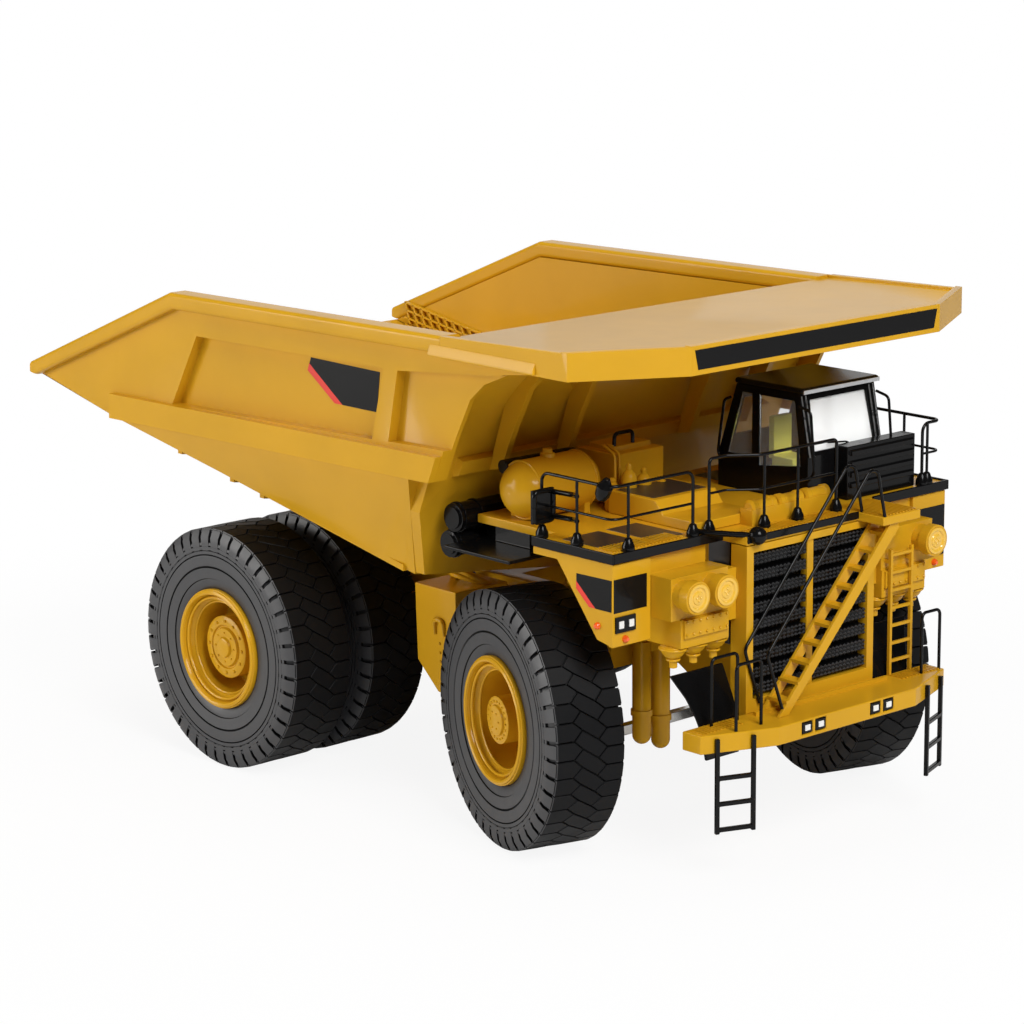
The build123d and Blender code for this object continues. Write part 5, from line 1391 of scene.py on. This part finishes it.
# name, place in metres, height of its aim over the origin, size in metres, power, colour
LAMPS = [
    ("side", (-0.80, -1.10, 0.32), 0.06, 0.8, 11.5, (1.0, 0.98, 0.95)),
    ("front", (1.05, -0.30, 0.95), 0.06, 0.7, 17.0, WHITE),
    ("top", (-0.25, 0.15, 1.3), 0.06, 0.9, 4.5, WHITE),
    ("backdrop", (-1.35, 1.25, 0.50), 0.08, 1.8, 6.0, WHITE),
]


def area_lamp(name, place, aim_z, size, power, colour):
    """A round soft lamp that shines on a point above the origin."""
    light = bpy.data.lights.new(name, "AREA")
    light.shape = "DISK"
    light.size = size
    light.energy = power
    light.color = colour
    lamp = bpy.data.objects.new(name, light)
    lamp.location = place
    aim = Vector((0, 0, aim_z)) - Vector(place)
    lamp.rotation_euler = aim.to_track_quat("-Z", "Y").to_euler()
    bpy.context.scene.collection.objects.link(lamp)


def white_to_camera(tree, surface, share=None):
    """The shader, mixed with plain white for camera and transmitted rays, or with a share of it."""
    path = tree.nodes.new("ShaderNodeLightPath")
    sees = tree.nodes.new("ShaderNodeMath")
    sees.operation = "MAXIMUM"
    tree.links.new(path.outputs["Is Camera Ray"], sees.inputs[0])
    tree.links.new(path.outputs["Is Transmission Ray"], sees.inputs[1])
    part = tree.nodes.new("ShaderNodeMath")
    part.operation = "MULTIPLY"
    part.inputs[1].default_value = 1.0
    if share is not None:
        tree.links.new(share, part.inputs[1])
    tree.links.new(sees.outputs["Value"], part.inputs[0])
    kind = "Emission" if surface.type.startswith("BSDF") else "Background"
    glow = tree.nodes.new(f"ShaderNode{kind}")
    glow.inputs["Color"].default_value = (*WHITE, 1.0)
    glow.inputs["Strength"].default_value = 1.0
    mix = tree.nodes.new("ShaderNodeMixShader")
    tree.links.new(part.outputs["Value"], mix.inputs["Fac"])
    tree.links.new(surface.outputs[0], mix.inputs[1])
    tree.links.new(glow.outputs[0], mix.inputs[2])
    return mix


def make_camera(scene):
    """The camera, with its aim and distance in millimetres and its roll in degrees."""
    data = bpy.data.cameras.new("camera")
    data.sensor_width = CAMERA_SENSOR
    data.lens = CAMERA_LENS
    data.clip_end = CAMERA_REACH_M
    camera = bpy.data.objects.new("camera", data)
    camera.location = (CAMERA_AIM - CAMERA_DIRECTION.normalized() * CAMERA_DISTANCE) * MM
    turn = CAMERA_DIRECTION.to_track_quat("-Z", "Y").to_matrix().to_4x4()
    turn = turn @ Matrix.Rotation(math.radians(CAMERA_ROLL), 4, "Z")
    camera.rotation_euler = turn.to_euler()
    scene.collection.objects.link(camera)
    scene.camera = camera


def floor_finish():
    """Plain white far out, with more of the lit floor and its shadow near the truck."""
    material, tree, shader = node_material("studio floor")
    shader.inputs["Base Color"].default_value = (0.9, 0.9, 0.9, 1.0)
    shader.inputs["Roughness"].default_value = 0.9
    shader.inputs["Specular IOR Level"].default_value = 0.1
    place = tree.nodes.new("ShaderNodeTexCoord")
    distance = tree.nodes.new("ShaderNodeVectorMath")
    distance.operation = "LENGTH"
    fade = tree.nodes.new("ShaderNodeMapRange")
    fade.inputs["From Min"].default_value = FADE_NEAR_M
    fade.inputs["From Max"].default_value = FADE_FAR_M
    fade.inputs["To Min"].default_value = FLOOR_WHITE_SHARE
    fade.inputs["To Max"].default_value = 1.0
    tree.links.new(place.outputs["Object"], distance.inputs[0])
    tree.links.new(distance.outputs["Value"], fade.inputs["Value"])
    mixed = white_to_camera(tree, shader, fade.outputs["Result"])
    tree.links.new(mixed.outputs[0], tree.nodes["Material Output"].inputs["Surface"])
    return material


def make_world(scene):
    """Dim warm light from all round, which the camera sees as white."""
    world = bpy.data.worlds.new("studio")
    world.use_nodes = True
    scene.world = world
    tree = world.node_tree
    background = tree.nodes["Background"]
    background.inputs["Color"].default_value = (*WORLD_COLOUR, 1.0)
    background.inputs["Strength"].default_value = WORLD_STRENGTH
    mixed = white_to_camera(tree, background)
    tree.links.new(mixed.outputs[0], tree.nodes["World Output"].inputs["Surface"])


class TRUCK_OT_stage(bpy.types.Operator):
    """Pale floor, soft studio lamps and the camera"""

    bl_idname = "truck.stage"
    bl_label = "Stage"

    def execute(self, context):
        context.scene.view_settings.view_transform = "Standard"
        make_camera(context.scene)
        floor = Form()
        corners = ((-1, -1), (1, -1), (1, 1), (-1, 1))
        floor.face([(x * FLOOR_HALF, y * FLOOR_HALF, FLOOR_Z) for x, y in corners])
        ground = add_object("studio_floor", floor.bake("studio floor"), floor_finish())
        make_world(context.scene)
        for lamp in LAMPS:
            area_lamp(*lamp)
        return {"FINISHED"}


class TRUCK_PT_panel(bpy.types.Panel):
    """Lists the pieces of the truck and their sizes"""

    bl_label = "Dump truck"
    bl_idname = "TRUCK_PT_panel"
    bl_space_type = "VIEW_3D"
    bl_region_type = "UI"
    bl_category = "Dump truck"

    def draw(self, context):
        for group in (context.scene.truck_sizes, context.scene.truck_colours):
            for name in group.bl_rna.properties.keys():
                if name not in ("rna_type", "name"):
                    self.layout.prop(group, name)
        for operator in OPERATORS:
            self.layout.operator(operator.bl_idname)


OPERATORS = (
    TRUCK_OT_stage,
    TRUCK_OT_tyres,
    TRUCK_OT_castings,
    TRUCK_OT_wheels,
    TRUCK_OT_plates,
    TRUCK_OT_lamps,
    TRUCK_OT_grille,
    TRUCK_OT_deck_trim,
    TRUCK_OT_equipment,
    TRUCK_OT_cab_details,
    TRUCK_OT_body_details,
)
CLASSES = (TruckSizes, TruckColours, *OPERATORS, TRUCK_PT_panel)


def register():
    for item in CLASSES:
        bpy.utils.register_class(item)
    bpy.types.Scene.truck_sizes = PointerProperty(type=TruckSizes)
    bpy.types.Scene.truck_colours = PointerProperty(type=TruckColours)


def unregister():
    del bpy.types.Scene.truck_sizes
    del bpy.types.Scene.truck_colours
    for item in reversed(CLASSES):
        bpy.utils.unregister_class(item)


def main():
    register()
    make_finishes()
    for operator in OPERATORS:
        group, name = operator.bl_idname.split(".")
        getattr(getattr(bpy.ops, group), name)()


if __name__ == "__main__":
    main()
